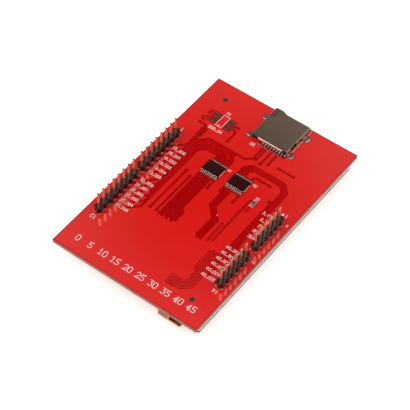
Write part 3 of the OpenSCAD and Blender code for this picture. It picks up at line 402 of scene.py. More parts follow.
@dataclass(frozen=True)
class SolderMask:
    """Glossy red lacquer over copper."""

    name: str = "red_mask"
    colour: Colour = srgb(215, 21, 18)
    pale: Colour = srgb(219, 24, 20)
    roughness: float = 0.07
    gloss: float = 0.6
    drift_size: float = 0.03
    spot_size: float = 0.004
    spot_sheen: Point = (-0.03, 0.04)
    peel_size: float = 0.0016
    peel_depth: float = 0.000004
    peel_strength: float = 0.12

    def material(self) -> Material:
        """Make the lacquer with its slow colour drift and orange peel.

        Returns:
            The material.
        """
        shader = Shader(self.name, self.colour, self.roughness)
        shader.put("Specular IOR Level", self.gloss)
        shader.tint(shader.share(shader.noise(self.drift_size, 2.0), *EVEN), self.colour, self.pale)
        shader.sheen(shader.noise(self.spot_size), *(self.roughness + step for step in self.spot_sheen))
        shader.bump(shader.noise(self.peel_size, 2.0), self.peel_depth, self.peel_strength)
        return shader.material


@dataclass(frozen=True)
class Laminate:
    """Woven laminate: lacquered on its faces, bare at its cut edges, which turn redder and darker towards
    the top.
    """

    name: str = "laminate"
    face: Colour = srgb(145, 0, 4)
    rim: Colour = srgb(206, 17, 15)
    # Painted shade: a darker strip along the -X and +Y edges of the faces.
    painted_shade_rim: Colour = srgb(128, 26, 28)
    cut: Colour = srgb(168, 102, 90)
    fibre: Colour = srgb(194, 148, 136)
    lip: Colour = srgb(150, 40, 32)
    lip_levels: Point = (5.7, 6.87)
    half: Point = (28.25, 43.25)
    rim_width: float = 0.5
    rim_blur: float = 0.02
    shade_blur_share: float = 0.001
    roughness: float = 0.2
    roughness_range: Point = (0.75, 0.07)
    gloss_range: Point = (0.5, 0.2)
    brink: Point = (0.45, 0.55)
    ply_size: float = 0.00022
    ply_stretch: Triple = (0.08, 0.08, 1.0)
    ply_range: Point = (0.35, 0.65)
    ply_depth: float = 0.00003
    ply_strength: float = 0.3
    speckle_size: float = 0.0006
    speckle_range: Point = (0.5, 0.8)
    speckle_most: float = 0.5
    speckle_tone: float = 0.7
    lip_most: float = 0.9

    def material(self) -> Material:
        """Make the faces dark red and the cut edges fibrous.

        Returns:
            The material.
        """
        shader = Shader(self.name, self.face, self.roughness)
        layers = shader.noise(self.ply_size, 2.0, self.ply_stretch)
        top = shader.share(shader.facing(Axis.Z), *self.brink)
        shader.tint(top, self._edge(shader, layers), self._face(shader))
        shader.sheen(top, *self.roughness_range)
        shader.drive("Specular IOR Level", shader.span(top, *self.gloss_range))
        shader.bump(layers, self.ply_depth, self.ply_strength)
        return shader.material

    def _edge(self, shader: Shader, layers: Socket) -> Socket:
        """Colour the cut edges.

        Args:
            shader: The material in the making.
            layers: Noise that runs along the plies.

        Returns:
            The colour, redder and darker towards the top of the edge.
        """
        cut = shader.mixed(shader.share(layers, *self.ply_range), self.cut, self.fibre)
        specks = shader.noise(self.speckle_size)
        speckle = shader.span(specks, 0.0, self.speckle_most, *self.speckle_range)
        cut = shader.mixed(speckle, cut, lit(self.cut, self.speckle_tone))
        low, high = self.lip_levels
        lip = shader.span(shader.along(Axis.Z), 0.0, self.lip_most, low * MM, high * MM)
        return shader.mixed(lip, cut, self.lip)

    def _face(self, shader: Shader) -> Colour | Socket:
        """Colour the faces.

        Args:
            shader: The material in the making.

        Returns:
            The colour, brighter in the rim, with painted shade along two of its sides.
        """
        face = self.face
        for axis, half in zip((Axis.X, Axis.Y), self.half):
            start = half - self.rim_width
            out = shader.maths(Sum.SIZE, shader.along(axis))
            rim = shader.share(out, start * MM, (start + self.rim_blur) * MM)
            face = shader.mixed(rim, face, self.rim)
        # Painted shade: darken a strip along the -X and +Y edges.
        for axis, half in zip((Axis.X, Axis.Y), (-self.half[0], self.half[1])):
            start = half - math.copysign(self.rim_width, half)
            end = start + half * self.shade_blur_share
            rim = shader.share(shader.along(axis), start * MM, end * MM)
            face = shader.mixed(rim, face, self.painted_shade_rim)
        return face


@dataclass(frozen=True)
class Moulded:
    """Moulded plastic with a fine grain."""

    name: str
    colour: Colour
    roughness: float
    grain: float = 0.00012
    depth: float = 0.000008
    gloss: float = 0.5
    grain_strength: float = 0.5
    flow_share: float = 18.0
    flow_tones: Point = (0.85, 1.18)
    sheen_step: float = 0.08

    def material(self) -> Material:
        """Make the plastic with its grain and small changes in gloss.

        Returns:
            The material.
        """
        shader = Shader(self.name, self.colour, self.roughness)
        shader.put("Specular IOR Level", self.gloss)
        grain = shader.noise(self.grain, 4.0)
        flow = shader.share(shader.noise(self.grain * self.flow_share, 2.0), *EVEN)
        shader.tint(flow, *(lit(self.colour, tone) for tone in self.flow_tones))
        shader.sheen(grain, self.roughness - self.sheen_step, self.roughness + self.sheen_step)
        shader.bump(grain, self.depth, self.grain_strength)
        return shader.material


@dataclass(frozen=True)
class Metal:
    """Metal sheet, wire, plating or solder."""

    name: str
    colour: Colour
    stain: Colour
    roughness: float
    grain: Grain
    stain_range: Point = (0.55, 1.0)

    def material(self) -> Material:
        """Make the metal, stained in patches and along its marks.

        Returns:
            The material.
        """
        shader = MetalShader(self.name, self.colour, self.roughness, self.grain)
        marked = shader.span(shader.marks, *self.stain_range)
        stained = shader.maths(Sum.PRODUCT, shader.patches, marked)
        shader.tint(stained, self.colour, self.stain)
        return shader.material


@dataclass(frozen=True)
class ShellSteel:
    """Rolled and nickelled steel, with a painted highlight where it was folded down."""

    name: str = "nickelled_steel"
    nickel: Colour = srgb(141, 119, 105)
    stain: Colour = srgb(132, 111, 98)
    painted_fold_highlight: Colour = srgb(204, 189, 177)
    fold: float = 28.48
    fold_blur: float = 0.06
    roughness: float = 0.15

    def material(self) -> Material:
        """Make the sheet with its rolling marks and a painted highlight along its fold.

        Returns:
            The material.
        """
        shader = MetalShader(self.name, self.nickel, self.roughness, Grain.ROLLED)
        stained = shader.maths(Sum.PRODUCT, shader.patches, shader.marks)
        sheet = shader.mixed(stained, self.nickel, self.stain)
        # Painted highlight: the sheet turns pale in front of the fold line.
        flat = shader.share(shader.along(Axis.Y), self.fold * MM, (self.fold + self.fold_blur) * MM)
        shader.tint(flat, self.painted_fold_highlight, sheet)
        return shader.material


@dataclass(frozen=True)
class PinPlate:
    """Gold plate on drawn pins, with a painted dark reflection at their tips."""

    name: str = "gold_plate"
    plate: Colour = srgb(242, 192, 166)
    worn: Colour = srgb(224, 164, 138)
    # Painted dark reflection: the colour of each pin's very top, which would mirror the dark opening.
    bare: Colour = srgb(128, 80, 66)
    roughness: float = 0.17
    dark_tip_levels: Point = (14.96, 15.06)

    def material(self) -> Material:
        """Make the plate with its drawing marks, worn patches and a painted dark reflection on its tips.

        Returns:
            The material.
        """
        shader = MetalShader(self.name, self.plate, self.roughness, Grain.DRAWN)
        low, high = self.dark_tip_levels
        # Painted dark reflection over the tops of the pins.
        tip = shader.share(shader.along(Axis.Z), low * MM, high * MM)
        shader.tint(tip, shader.mixed(shader.patches, self.plate, self.worn), self.bare)
        return shader.material


@dataclass(frozen=True)
class Flex:
    """Amber film with copper tracks in it."""

    name: str
    track_pitch: float
    tracked: Point
    film: Colour = srgb(214, 140, 66)
    copper: Colour = srgb(104, 52, 18)
    roughness: float = 0.16
    roughness_range: Point = (0.14, 0.24)
    end_blur: float = 0.02
    mottle_size: float = 0.0012
    mottle_tone: float = 0.75
    track_range: Point = (0.42, 0.58)
    track_depth: float = 0.00002
    track_strength: float = 0.4

    def material(self) -> Material:
        """Make the film with even tracks across X, in the part of it that has tracks.

        Returns:
            The material.
        """
        shader = Shader(self.name, self.film, self.roughness)
        tracks = shader.share(shader.bands(self.track_pitch, Axis.X), *self.track_range)
        for end, inside in zip(self.tracked, (1.0, 0.0)):
            start, stop = (end - self.end_blur) * MM, (end + self.end_blur) * MM
            within = shader.span(shader.along(Axis.X), 1.0 - inside, inside, start, stop)
            tracks = shader.maths(Sum.PRODUCT, tracks, within)
        mottle = shader.share(shader.noise(self.mottle_size, 2.0), *EVEN)
        film = shader.mixed(mottle, self.film, lit(self.film, self.mottle_tone))
        shader.tint(tracks, film, self.copper)
        shader.sheen(tracks, *self.roughness_range)
        shader.bump(tracks, self.track_depth, self.track_strength)
        return shader.material


@dataclass(frozen=True)
class Pane:
    """Clear glass or film."""

    name: str
    colour: Colour
    roughness: float
    smeared: float = 0.05
    smear_size: float = 0.012
    smear_range: Point = (0.4, 0.7)
    refraction: float = 1.5

    def material(self) -> Material:
        """Make the pane with faint smears in its gloss.

        Returns:
            The material.
        """
        shader = Shader(self.name, self.colour, self.roughness)
        shader.put("Transmission Weight", 1.0)
        shader.put("IOR", self.refraction)
        smear = shader.noise(self.smear_size, 4.0)
        dull = self.roughness + self.smeared
        shader.drive("Roughness", shader.span(smear, self.roughness, dull, *self.smear_range))
        return shader.material


@dataclass(frozen=True)
class Film:
    """Optical film or sheet."""

    name: str
    colour: Colour
    screen: Screen
    cloud_size: float = 0.006
    cloud_tones: Point = (0.9, 1.08)
    relief_strength: float = 0.4

    def material(self) -> Material:
        """Make the film with its ridges, cells or haze.

        Returns:
            The material.
        """
        roughness, size, layers, depth = self.screen.value
        shader = Shader(self.name, self.colour, roughness)
        ridged = self.screen is Screen.RIDGED
        relief = shader.bands(size, Axis.X) if ridged else shader.noise(size, layers)
        cloud = shader.share(shader.noise(self.cloud_size, 2.0), *EVEN)
        shader.tint(cloud, *(lit(self.colour, tone) for tone in self.cloud_tones))
        shader.bump(relief, depth, self.relief_strength)
        return shader.material


@dataclass(frozen=True)
class Foam:
    """Closed foam, with its cells cut open at the sides."""

    name: str
    colour: Colour
    roughness: float = 0.85
    cell_size: float = 0.00018
    cell_range: Point = (0.1, 0.7)
    pit_shade_tones: Point = (0.6, 1.6)
    cell_depth: float = 0.00004
    cell_strength: float = 0.6

    def material(self) -> Material:
        """Make the foam with round cells, with painted shade in their pits and painted light on their
        rims.

        Returns:
            The material.
        """
        shader = Shader(self.name, self.colour, self.roughness)
        cells = shader.node("ShaderNodeTexVoronoi")
        cells.inputs["Scale"].default_value = 1.0 / self.cell_size
        shader.join(shader.place, cells.inputs["Vector"])
        # Painted shade and light: the cells are darker in their pits and lighter at their rims.
        depth = shader.share(cells.outputs["Distance"], *self.cell_range)
        shader.tint(depth, *(lit(self.colour, tone) for tone in self.pit_shade_tones))
        shader.bump(depth, self.cell_depth, self.cell_strength)
        return shader.material


@dataclass(frozen=True)
class TracedBorder:
    """Adhesive border of the touch panel, with silver tracks printed in it."""

    name: str = "traced_border"
    base: Colour = srgb(52, 52, 54)
    silver: Colour = srgb(168, 168, 166)
    roughness: float = 0.35
    track_pitch: float = 0.0006
    track_range: Point = (0.6, 0.72)
    long_side: Point = (24.94, 24.96)

    def material(self) -> Material:
        """Make the border with fine tracks along each of its sides.

        Returns:
            The material.
        """
        shader = Shader(self.name, self.base, self.roughness)
        out = shader.maths(Sum.SIZE, shader.along(Axis.X))
        chosen = shader.node("ShaderNodeMix")
        low, high = self.long_side
        shader.join(shader.share(out, low * MM, high * MM), chosen.inputs[MIX_FACTOR])
        for index, axis in zip(MIX_NUMBERS, (Axis.Y, Axis.X)):
            shader.join(shader.bands(self.track_pitch, axis), chosen.inputs[index])
        tracks = shader.share(chosen.outputs[MIX_NUMBER], *self.track_range)
        shader.tint(tracks, self.base, self.silver)
        return shader.material


@dataclass(frozen=True)
class Ink:
    """White printed ink, thin in places."""

    name: str = "white_ink"
    colour: Colour = srgb(240, 226, 222)
    worn: Colour = srgb(228, 170, 164)
    roughness: float = 0.5
    spot_size: float = 0.00035
    spot_range: Point = (0.52, 0.72)
    spot_most: float = 0.7
    grain_size: float = 0.00015
    grain_depth: float = 0.000006
    grain_strength: float = 0.4

    def material(self) -> Material:
        """Make the ink with thin spots through which red shows.

        Returns:
            The material.
        """
        shader = Shader(self.name, self.colour, self.roughness)
        thin = shader.span(shader.noise(self.spot_size), 0.0, self.spot_most, *self.spot_range)
        shader.tint(thin, self.colour, self.worn)
        shader.bump(shader.noise(self.grain_size, 2.0), self.grain_depth, self.grain_strength)
        return shader.material


class Finishes:
    """Every material of the object, made once."""

    def __init__(self) -> None:
        """Make the materials."""
        self.mask = SolderMask().material()
        self.track_mask = SolderMask(
            "track_mask", srgb(194, 2, 6), srgb(197, 4, 8), gloss=0.2
        ).material()
        self.laminate = Laminate().material()
        self.bare_laminate = self._plastic("bare_laminate", (74, 46, 40), 0.6)
        self.tin = self._metal("tin", (228, 224, 218), (150, 142, 134), 0.24, Grain.PLATED)
        self.pad = self._metal("tinned_pad", (142, 112, 101), (124, 98, 90), 0.15, Grain.PLATED)
        self.solder = self._metal("solder", (214, 212, 208), (160, 156, 152), 0.22, Grain.REFLOWED)
        self.dull_solder = self._metal(
            "dull_solder", (178, 172, 168), (140, 134, 130), 0.35, Grain.REFLOWED
        )
        self.gold = PinPlate().material()
        self.steel = ShellSteel().material()
        self.strip = self._metal("contact_strip", (128, 114, 106), (98, 86, 80), 0.25, Grain.PLATED)
        self.tarnish = self._metal("tarnished_copper", (125, 76, 88), (112, 68, 78), 0.15, Grain.PLATED)
        self.tray = self._metal("tin_plate", (234, 228, 222), (212, 204, 198), 0.3, Grain.ROLLED)
        self.wire = self._metal("spring_wire", (196, 194, 190), (150, 146, 142), 0.25, Grain.DRAWN)
        # The housings' plastic is dark, with a reddish tint that is partly painted red bounce light from
        # the board.
        self.housing = self._plastic("header_plastic", (47, 11, 10), 0.2, gloss=0.34)
        self.mould = self._plastic("chip_mould", (48, 6, 5), 0.5, grain=0.00008, gloss=0.06)
        self.glaze = self._plastic("resistor_glaze", (62, 56, 56), 0.3)
        self.socket = self._plastic("socket_plastic", (28, 26, 26), 0.5)
        self.slider = self._plastic("slider_plastic", (38, 36, 35), 0.4)
        self.frame = self._plastic("frame_plastic", (238, 236, 230), 0.35, grain=0.0002)
        self.lamp = self._plastic("lamp_lens", (240, 226, 150), 0.25)
        self.tail = Flex("tail_film", 0.00062, (13.9, 16.6)).material()
        self.flex = Flex("display_flex_film", 0.0005, (-12.0, 12.0)).material()
        self.glass = Pane("clear_glass", (0.93, 0.97, 0.96), 0.01).material()
        self.film = Pane("touch_film", (0.82, 0.83, 0.84), 0.1).material()
        self.dark = Film("polarizer", srgb(20, 20, 24), Screen.DARK).material()
        self.pale = Film("pale_sheet", srgb(236, 238, 240), Screen.PALE).material()
        self.ridged = Film("prism_sheet", srgb(214, 220, 226), Screen.RIDGED).material()
        self.tape = self._plastic("black_tape", (24, 24, 25), 0.4)
        self.foam = Foam("black_foam", srgb(28, 28, 29)).material()
        self.border = TracedBorder().material()
        self.ink = Ink().material()

    @staticmethod
    def _metal(name: str, colour: Rgb, stain: Rgb, roughness: float, grain: Grain) -> Material:
        """Make a metal from screen colours."""
        return Metal(name, srgb(*colour), srgb(*stain), roughness, grain).material()

    @staticmethod
    def _plastic(name: str, colour: Rgb, roughness: float, **settings: float) -> Material:
        """Make a moulded plastic from a screen colour."""
        return Moulded(name, srgb(*colour), roughness, **settings).material()


class Relief:
    """Flat shapes that stand a little proud of a level, gathered into one mesh."""

    LAYER_SHARE = 0.2
    LEAST_MITRE = 0.35

    def __init__(self, level: float, rise: float) -> None:
        """Start with nothing.

        Args:
            level: Height of what the shapes lie on.
            rise: Thickness of the shapes.
        """
        self.level = level
        self.rise = rise
        self.mesh = bmesh.new()

    def _corner(self, point: Point, share: float) -> bmesh.types.BMVert:
        """Add a corner at a share of the thickness."""
        return self.mesh.verts.new((point[0] * MM, point[1] * MM, (self.level + share * self.rise) * MM))

    def prism(self, points: Sequence[Point]) -> None:
        """Add a convex shape.

        Args:
            points: Its corners, anticlockwise.
        """
        top = [self._corner(p, 1.0) for p in points]
        foot = [self._corner(p, 0.0) for p in points]
        self.mesh.faces.new(top)
        self.mesh.faces.new(foot)
        for i, corner in enumerate(top):
            j = (i + 1) % len(top)
            self.mesh.faces.new((corner, foot[i], foot[j], top[j]))

    def disc(self, middle: Point, diameter: float, sides: int) -> None:
        """Add a round spot."""
        self.prism(circle(middle, diameter / 2, sides))

    def ring(self, middle: Point, inner: float, outer: float, sides: int) -> None:
        """Add a round ring between two diameters."""
        self.stroke(circle(middle, (outer + inner) / 4, sides), (outer - inner) / 2, True)

    def stroke(self, path: Sequence[Point], width: float, closed: bool = False, layer: int = 0) -> None:
        """Add a line of even width with mitred corners.

        Args:
            path: Points of its middle.
            width: Width of the line.
            closed: Whether the last point joins the first.
            layer: How many lines it crosses over, each of which lifts its top a little.
        """
        points = [Vector(p) for p in path]
        count = len(points)
        if not closed:
            points[0] = points[0] + (points[0] - points[1]).normalized() * width / 2
            points[-1] = points[-1] + (points[-1] - points[-2]).normalized() * width / 2
        top = 1.0 + self.LAYER_SHARE * layer
        rows = []
        for i, point in enumerate(points):
            before = point - points[i - 1] if closed or i > 0 else points[1] - points[0]
            after = points[(i + 1) % count] - point if closed or i < count - 1 else before
            first = Vector((-before.y, before.x)).normalized()
            second = Vector((-after.y, after.x)).normalized()
            shift = (first + second) * (width / 2) / max(self.LEAST_MITRE, 1.0 + first.dot(second))
            left, right = point + shift, point - shift
            ends = ((left, top), (right, top), (right, 0.0), (left, 0.0))
            rows.append([self._corner(*end) for end in ends])
        if not closed:
            self.mesh.faces.new(rows[0])
            self.mesh.faces.new(rows[-1])
        for i in range(count if closed else count - 1):
            near, far = rows[i], rows[(i + 1) % count]
            for k, m in ((0, 1), (1, 2), (2, 3), (3, 0)):
                self.mesh.faces.new((near[k], near[m], far[m], far[k]))

    def build(self, name: str, material: Material, slot: str) -> bpy.types.Object:
        """Turn the shapes into a piece that rides on the module."""
        return finished(self.mesh, name, material)


def finished(
    mesh: bmesh.types.BMesh, name: str, material: Material, smooth: bool = False
) -> bpy.types.Object:
    """Turn a mesh into a piece that rides on the module.

    Args:
        mesh: Mesh in metres, in the frame of the part.
        name: Name of the piece.
        material: Its finish.
        smooth: Whether its faces are shaded as one.

    Returns:
        The new piece.
    """
    bmesh.ops.recalc_face_normals(mesh, faces=mesh.faces)
    for face in mesh.faces:
        face.smooth = smooth
    data = bpy.data.meshes.new(name)
    mesh.to_mesh(data)
    mesh.free()
    data.materials.append(material)
    piece = bpy.data.objects.new(name, data)
    bpy.context.scene.collection.objects.link(piece)
    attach(piece, MODULE)
    log.info("piece %s: %d faces", name, len(data.polygons))
    return piece


def welded(node: bpy.types.Object) -> bmesh.types.BMesh:
    """Copy a node's mesh, with its faces joined at their edges.

    Args:
        node: CAD node whose mesh is wanted.

    Returns:
        The copy, in the frame of the part.
    """
    mesh = bmesh.new()
    mesh.from_mesh(node.data)
    mesh.transform(node.matrix_world)
    bmesh.ops.remove_doubles(mesh, verts=mesh.verts, dist=WELD * MM)
    return mesh


def islands(mesh: bmesh.types.BMesh) -> list[list[bmesh.types.BMFace]]:
    """Sort a mesh's faces into the shapes that hang together.

    Args:
        mesh: Mesh whose shapes are wanted.

    Returns:
        The faces of each shape, in the same order at each run.
    """
    left = dict.fromkeys(mesh.faces)
    found = []
    while left:
        shape = [left.popitem()[0]]
        for face in shape:
            for other in (near for edge in face.edges for near in edge.link_faces if near in left):
                del left[other]
                shape.append(other)
        found.append(shape)
    return found


class Dresser:
    """Gives CAD nodes their finishes."""

    EDGE_SEGMENTS = 2
    EDGE_ANGLE = math.radians(40)

    def __init__(self, nodes: dict[str, bpy.types.Object]) -> None:
        """Keep the nodes of the frame."""
        self.nodes = nodes

    def paint(self, material: Material, *names: str) -> None:
        """Give nodes a material.

        Args:
            material: The finish.
            names: Nodes that get it.
        """
        for name in names:
            data = self.nodes[name].data
            data.materials.clear()
            data.materials.append(material)
            log.info("node %s: %s", name, material.name)

    def soften(self, width: float, *names: str) -> None:
        """Round the edges of nodes.

        Args:
            width: Width of the rounding.
            names: Nodes that get it.
        """
        for name in names:
            edge = self.nodes[name].modifiers.new("edge", "BEVEL")
            edge.width = width * MM
            edge.segments = self.EDGE_SEGMENTS
            edge.limit_method = "ANGLE"
            edge.angle_limit = self.EDGE_ANGLE


@dataclass(frozen=True)
class StrokeFont:
    """Figures made of lines, as a plotter draws them, one unit high."""

    height: float
    pitch: float
    width: float
    serif: bool = False

    FIGURES: ClassVar[dict[str, list[list[Point]]]] = {
        "0": [[(0.15, 0), (0.45, 0), (0.6, 0.2), (0.6, 0.8), (0.45, 1), (0.15, 1), (0, 0.8), (0, 0.2)]],
        "1": [[(0.08, 0.8), (0.32, 1), (0.32, 0)]],
        "2": [[(0, 0.8), (0.15, 1), (0.45, 1), (0.6, 0.8), (0.6, 0.6), (0.02, 0), (0.6, 0)]],
        "3": [[
            (0.02, 1), (0.58, 1), (0.28, 0.6), (0.45, 0.6), (0.6, 0.42),
            (0.6, 0.18), (0.45, 0), (0.15, 0), (0, 0.15),
        ]],
        "4": [[(0.6, 0.3), (0, 0.3), (0.45, 1)], [(0.45, 1), (0.45, 0)]],
        "5": [[
            (0.55, 1), (0.06, 1), (0.02, 0.58), (0.42, 0.58), (0.6, 0.42),
            (0.6, 0.18), (0.42, 0), (0.12, 0), (0, 0.12),
        ]],
        "_": [[(0, 0), (0.6, 0)]],
    }
    CLOSED: ClassVar[str] = "0"
    SERIFS: ClassVar[dict[str, list[list[Point]]]] = {
        "1": [[(0.1, 0), (0.54, 0)]],
        "4": [[(0.26, 0), (0.64, 0)]],
        "2": [[(0.6, 0), (0.6, 0.14)]],
        "5": [[(0.55, 1), (0.55, 1.08)]],
    }
    FIGURE_WIDTH: ClassVar[float] = 0.6
    MID_HEIGHT: ClassVar[float] = 0.5

    def measure(self, text: str) -> float:
        """Give the length of a text."""
        return (len(text) - 1) * self.pitch + self.FIGURE_WIDTH * self.height

    def write(self, relief: Relief, text: str, middle: Point, turned: bool = False) -> None:
        """Draw a text.

        Args:
            relief: What takes the lines.
            text: Figures to draw.
            middle: Middle of the text.
            turned: Whether it stands on its head.
        """
        sign = -1.0 if turned else 1.0
        start = -self.measure(text) / 2
        for index, figure in enumerate(text):
            left = start + index * self.pitch
            plain = self.FIGURES[figure]
            serifs = self.SERIFS.get(figure, []) if self.serif else []
            for number, line in enumerate(plain + serifs):
                spots = [(left + x * self.height, (y - self.MID_HEIGHT) * self.height) for x, y in line]
                path = [(middle[0] + sign * x, middle[1] + sign * y) for x, y in spots]
                closed = figure in self.CLOSED and number < len(plain)
                relief.stroke(path, self.width, closed, number)


@dataclass
class SolderMound:
    """A rounded cap of solder on a rectangle."""

    box: Box
    level: float
    height: float
    steps: int

    def add(self, mesh: bmesh.types.BMesh) -> None:
        """Add the mound to a mesh.

        Args:
            mesh: What takes the faces.
        """
        x0, y0, x1, y1 = self.box
        places = [-math.cos(math.pi * i / self.steps) for i in range(self.steps + 1)]
        rows = []
        for u in places:
            row = []
            for v in places:
                lift = math.sqrt(max(0.0, (1 - u**4) * (1 - v**4)))
                x = (x0 + x1) / 2 + u * (x1 - x0) / 2
                y = (y0 + y1) / 2 + v * (y1 - y0) / 2
                row.append(mesh.verts.new((x * MM, y * MM, (self.level + lift * self.height) * MM)))
            rows.append(row)
        for near, far in zip(rows, rows[1:]):
            for j in range(self.steps):
                mesh.faces.new((near[j], far[j], far[j + 1], near[j + 1]))
        far_side = [row[-1] for row in rows[1:]]
        near_side = [row[0] for row in rows[-2:0:-1]]
        mesh.faces.new(rows[0] + far_side + rows[-1][-2::-1] + near_side)


@dataclass
class SolderFillet:
    """A hollow slope of solder round the free end of a tab."""

    path: Sequence[Point]
    level: float
    height: float
    width: float
    steps: int = 5

    def add(self, mesh: bmesh.types.BMesh) -> None:
        """Add the slope to a mesh.

        Args:
            mesh: What takes the faces.
        """
        points = [Vector(point) for point in self.path]
        rows = []
        for i, point in enumerate(points):
            before = (point - points[i - 1]).normalized() if i else None
            after = (points[i + 1] - point).normalized() if i < len(points) - 1 else None
            ways = [Vector((way.y, -way.x)) for way in (before, after) if way is not None]
            mitre = max(1.0, (1.0 + ways[0].dot(ways[-1])) * len(ways) / 2.0)
            out = sum(ways, Vector((0.0, 0.0))) / mitre
            row = []
            for step in range(self.steps + 1):
                share = step / self.steps
                spot = point + out * self.width * share
                lift = self.level + self.height * (1.0 - share) ** 2
                row.append(mesh.verts.new((spot.x * MM, spot.y * MM, lift * MM)))
            row.append(mesh.verts.new((point.x * MM, point.y * MM, self.level * MM)))
            rows.append(row)
        mesh.faces.new(rows[0])
        mesh.faces.new(rows[-1])
        for near, far in zip(rows, rows[1:]):
            for step in range(len(near)):
                mesh.faces.new((near[step - 1], near[step], far[step], far[step - 1]))


@dataclass
class SubAssembly:
    """A group of nodes and pieces that belong together."""

    dresser: Dresser
    finishes: Finishes

    def dress(self) -> None:
        """Give the group's nodes their finishes."""

    def build(self) -> None:
        """Build the pieces that the frame has no node for, if there are any."""


@dataclass
class CircuitBoard(SubAssembly):
    """The red board with its copper, pads, vias and white print."""

    copper: float = 6.87
    upward: float = 0.9
    coat: float = 0.003
    bright: tuple[Box, ...] = (
        (9.0, -36.0, 18.0, -16.0), (9.0, -15.0, 13.8, 4.0), (-23.0, 24.8, -16.0, 31.5),
    )
    fiducial: float = 1.1
    fiducial_ring: float = 2.0
    fiducial_gap: float = 0.02
    fiducial_sides: int = 24
    fiducials: tuple[Point, ...] = ((-20.5, 36.5), (20.5, -35.1))
    ring_rise: float = 0.02
    ring_sides: int = 32
    via_hole: float = 0.26
    via_rise: float = 0.004
    via_sides: int = 12
    vias: tuple[Point, ...] = (
        (-3.625, 18.68), (-21.4, 23.75), (-18.35, 20.8), (-18.95, 22.1), (-3.675, 15.7),
        (-3.025, 14.9), (-21, 30.205), (-21.4, 28.935), (-22, 26.265), (-21.3, 25.395),
        (-9.4, 28.935), (-9, 22.2), (3.15, 21.6), (5.35, 20.9), (7.55, 22.3),
        (-8.225, -14.8), (-7.575, -13.9), (-6.925, -14.8), (-6.275, -13.9), (-5.295, -14.8),
        (-4.315, -13.9), (-3.335, -14.8), (-2.355, -13.9), (6.375, -13.9), (7.025, -14.8),
        (7.675, -13.9), (8.325, -14.8), (-2.375, 2.5), (1.825, 4.1), (7.675, 2.7),
        (13.4, 15.25), (11.3, 22.9), (17.1, 22.9), (-12.1, 4.5), (-12.1, -14.6),
        (-9.7, 3), (-9.7, -14.4), (10.3, -6.4), (10.3, -14.2), (11.75, -13),
        (13.2, 2.7), (16.9, 10), (13.9, -17.6), (10.1, -34.2), (14.7, -16.7),
        (10.9, -34.2), (15.5, -17.6), (11.7, -34.2), (16.3, -16.7), (12.5, -34.2),
    )
    ink_rise: float = 0.012
    line: float = 0.16
    thin_line: float = 0.12
    spare_part: Box = (-16.65, 25.7, -14.15, 30.9)
    spare_mark: Box = (-15.7, 25.7, -15.1, 26.3)
    socket_side: float = 10.68
    socket_runs: tuple[Point, ...] = ((30.9, 37.6), (40.2, 42.7))
    chips: Point = (-5.3, 4.75)
    chip_side: float = 3.24
    chip_run: Point = (8.4, 11.7)
    resistor: Box = (12.6, 4.8, 13.8, 7.8)
    header_half: float = 1.15
    header_gap: float = 0.12
    header_pitch: float = 2.54
    headers: tuple[tuple[float, float, int], ...] = (
        (-24.0, -26.83, 8), (-24.0, -4.99, 8), (24.26, -26.83, 6), (24.26, -9.05, 6),
    )
    arrow: tuple[Point, ...] = ((22.8, 7.95), (24.0, 7.95), (23.4, 8.95))
    dot: Point = (7.0, -4.4)
    dot_size: float = 0.36
    dot_sides: int = 20
    pin_font: StrokeFont = StrokeFont(1.0, 0.87, 0.15)
    left_column: float = -19.1
    left_rows: tuple[float, ...] = (
        9.4, 6.9, 4.4, 1.8, -0.8, -3.4, -7.5, -10.0, -12.6, -15.2, -17.8, -20.3,
    )
    left_group: int = 6
    upper_right: tuple[Label, ...] = (
        ("3_100", (19.9, 5.3)), ("3_01", (20.4, 2.7)), ("302", (20.9, 0.2)), ("303", (20.6, -2.3)),
        ("304", (20.7, -4.9)),
    )
    right_column: float = 19.2
    right_rows: tuple[float, ...] = (-12.5, -15.0, -17.6, -20.2, -22.8, -25.4)
    upright: tuple[tuple[StrokeFont, tuple[Label, ...]], ...] = (
        (
            StrokeFont(0.95, 0.8, 0.12),
            (("01", (-0.8, 12.6)), ("02", (9.4, 12.5)), ("04", (-15.8, 32.2))),
        ),
        (StrokeFont(0.8, 0.68, 0.11), (("03", (13.3, 8.7)),)),
        (StrokeFont(1.1, 0.95, 0.15), (("05", (-1.7, 26.3)),)),
        (StrokeFont(1.05, 0.9, 0.16), (("000_04", (-15.3, 24.0)),)),
    )
    turned: tuple[tuple[StrokeFont, tuple[Label, ...]], ...] = (
        (
            StrokeFont(1.35, 1.05, 0.16),
            (("12", (-24.0, -28.5)), ("1", (-24.0, 17.4)), ("14", (24.2, -28.4)), ("1", (24.7, 8.5))),
        ),
        (StrokeFont(0.95, 0.8, 0.12), (("5", (27.0, 5.4)), ("11", (27.0, -12.4)))),
    )
    scale_font: StrokeFont = StrokeFont(2.1, 1.75, 0.22, True)
    scale_start: Point = (-22.2, -37.85)
    scale_pitch: float = 4.95
    scale_step: int = 5
    scale_count: int = 10

    def dress(self) -> None:
        """Give the board's nodes their finishes."""
        self.dresser.paint(self.finishes.laminate, "circuit_board")
        self.dresser.paint(self.finishes.mask, "copper_layer")
        self.dresser.paint(self.finishes.pad, "bare_pads")

    def build(self) -> None:
        """Build what lies on the board's back."""
        self._lacquer()
        self._drills()
        self._bare_rings()
        self._print()

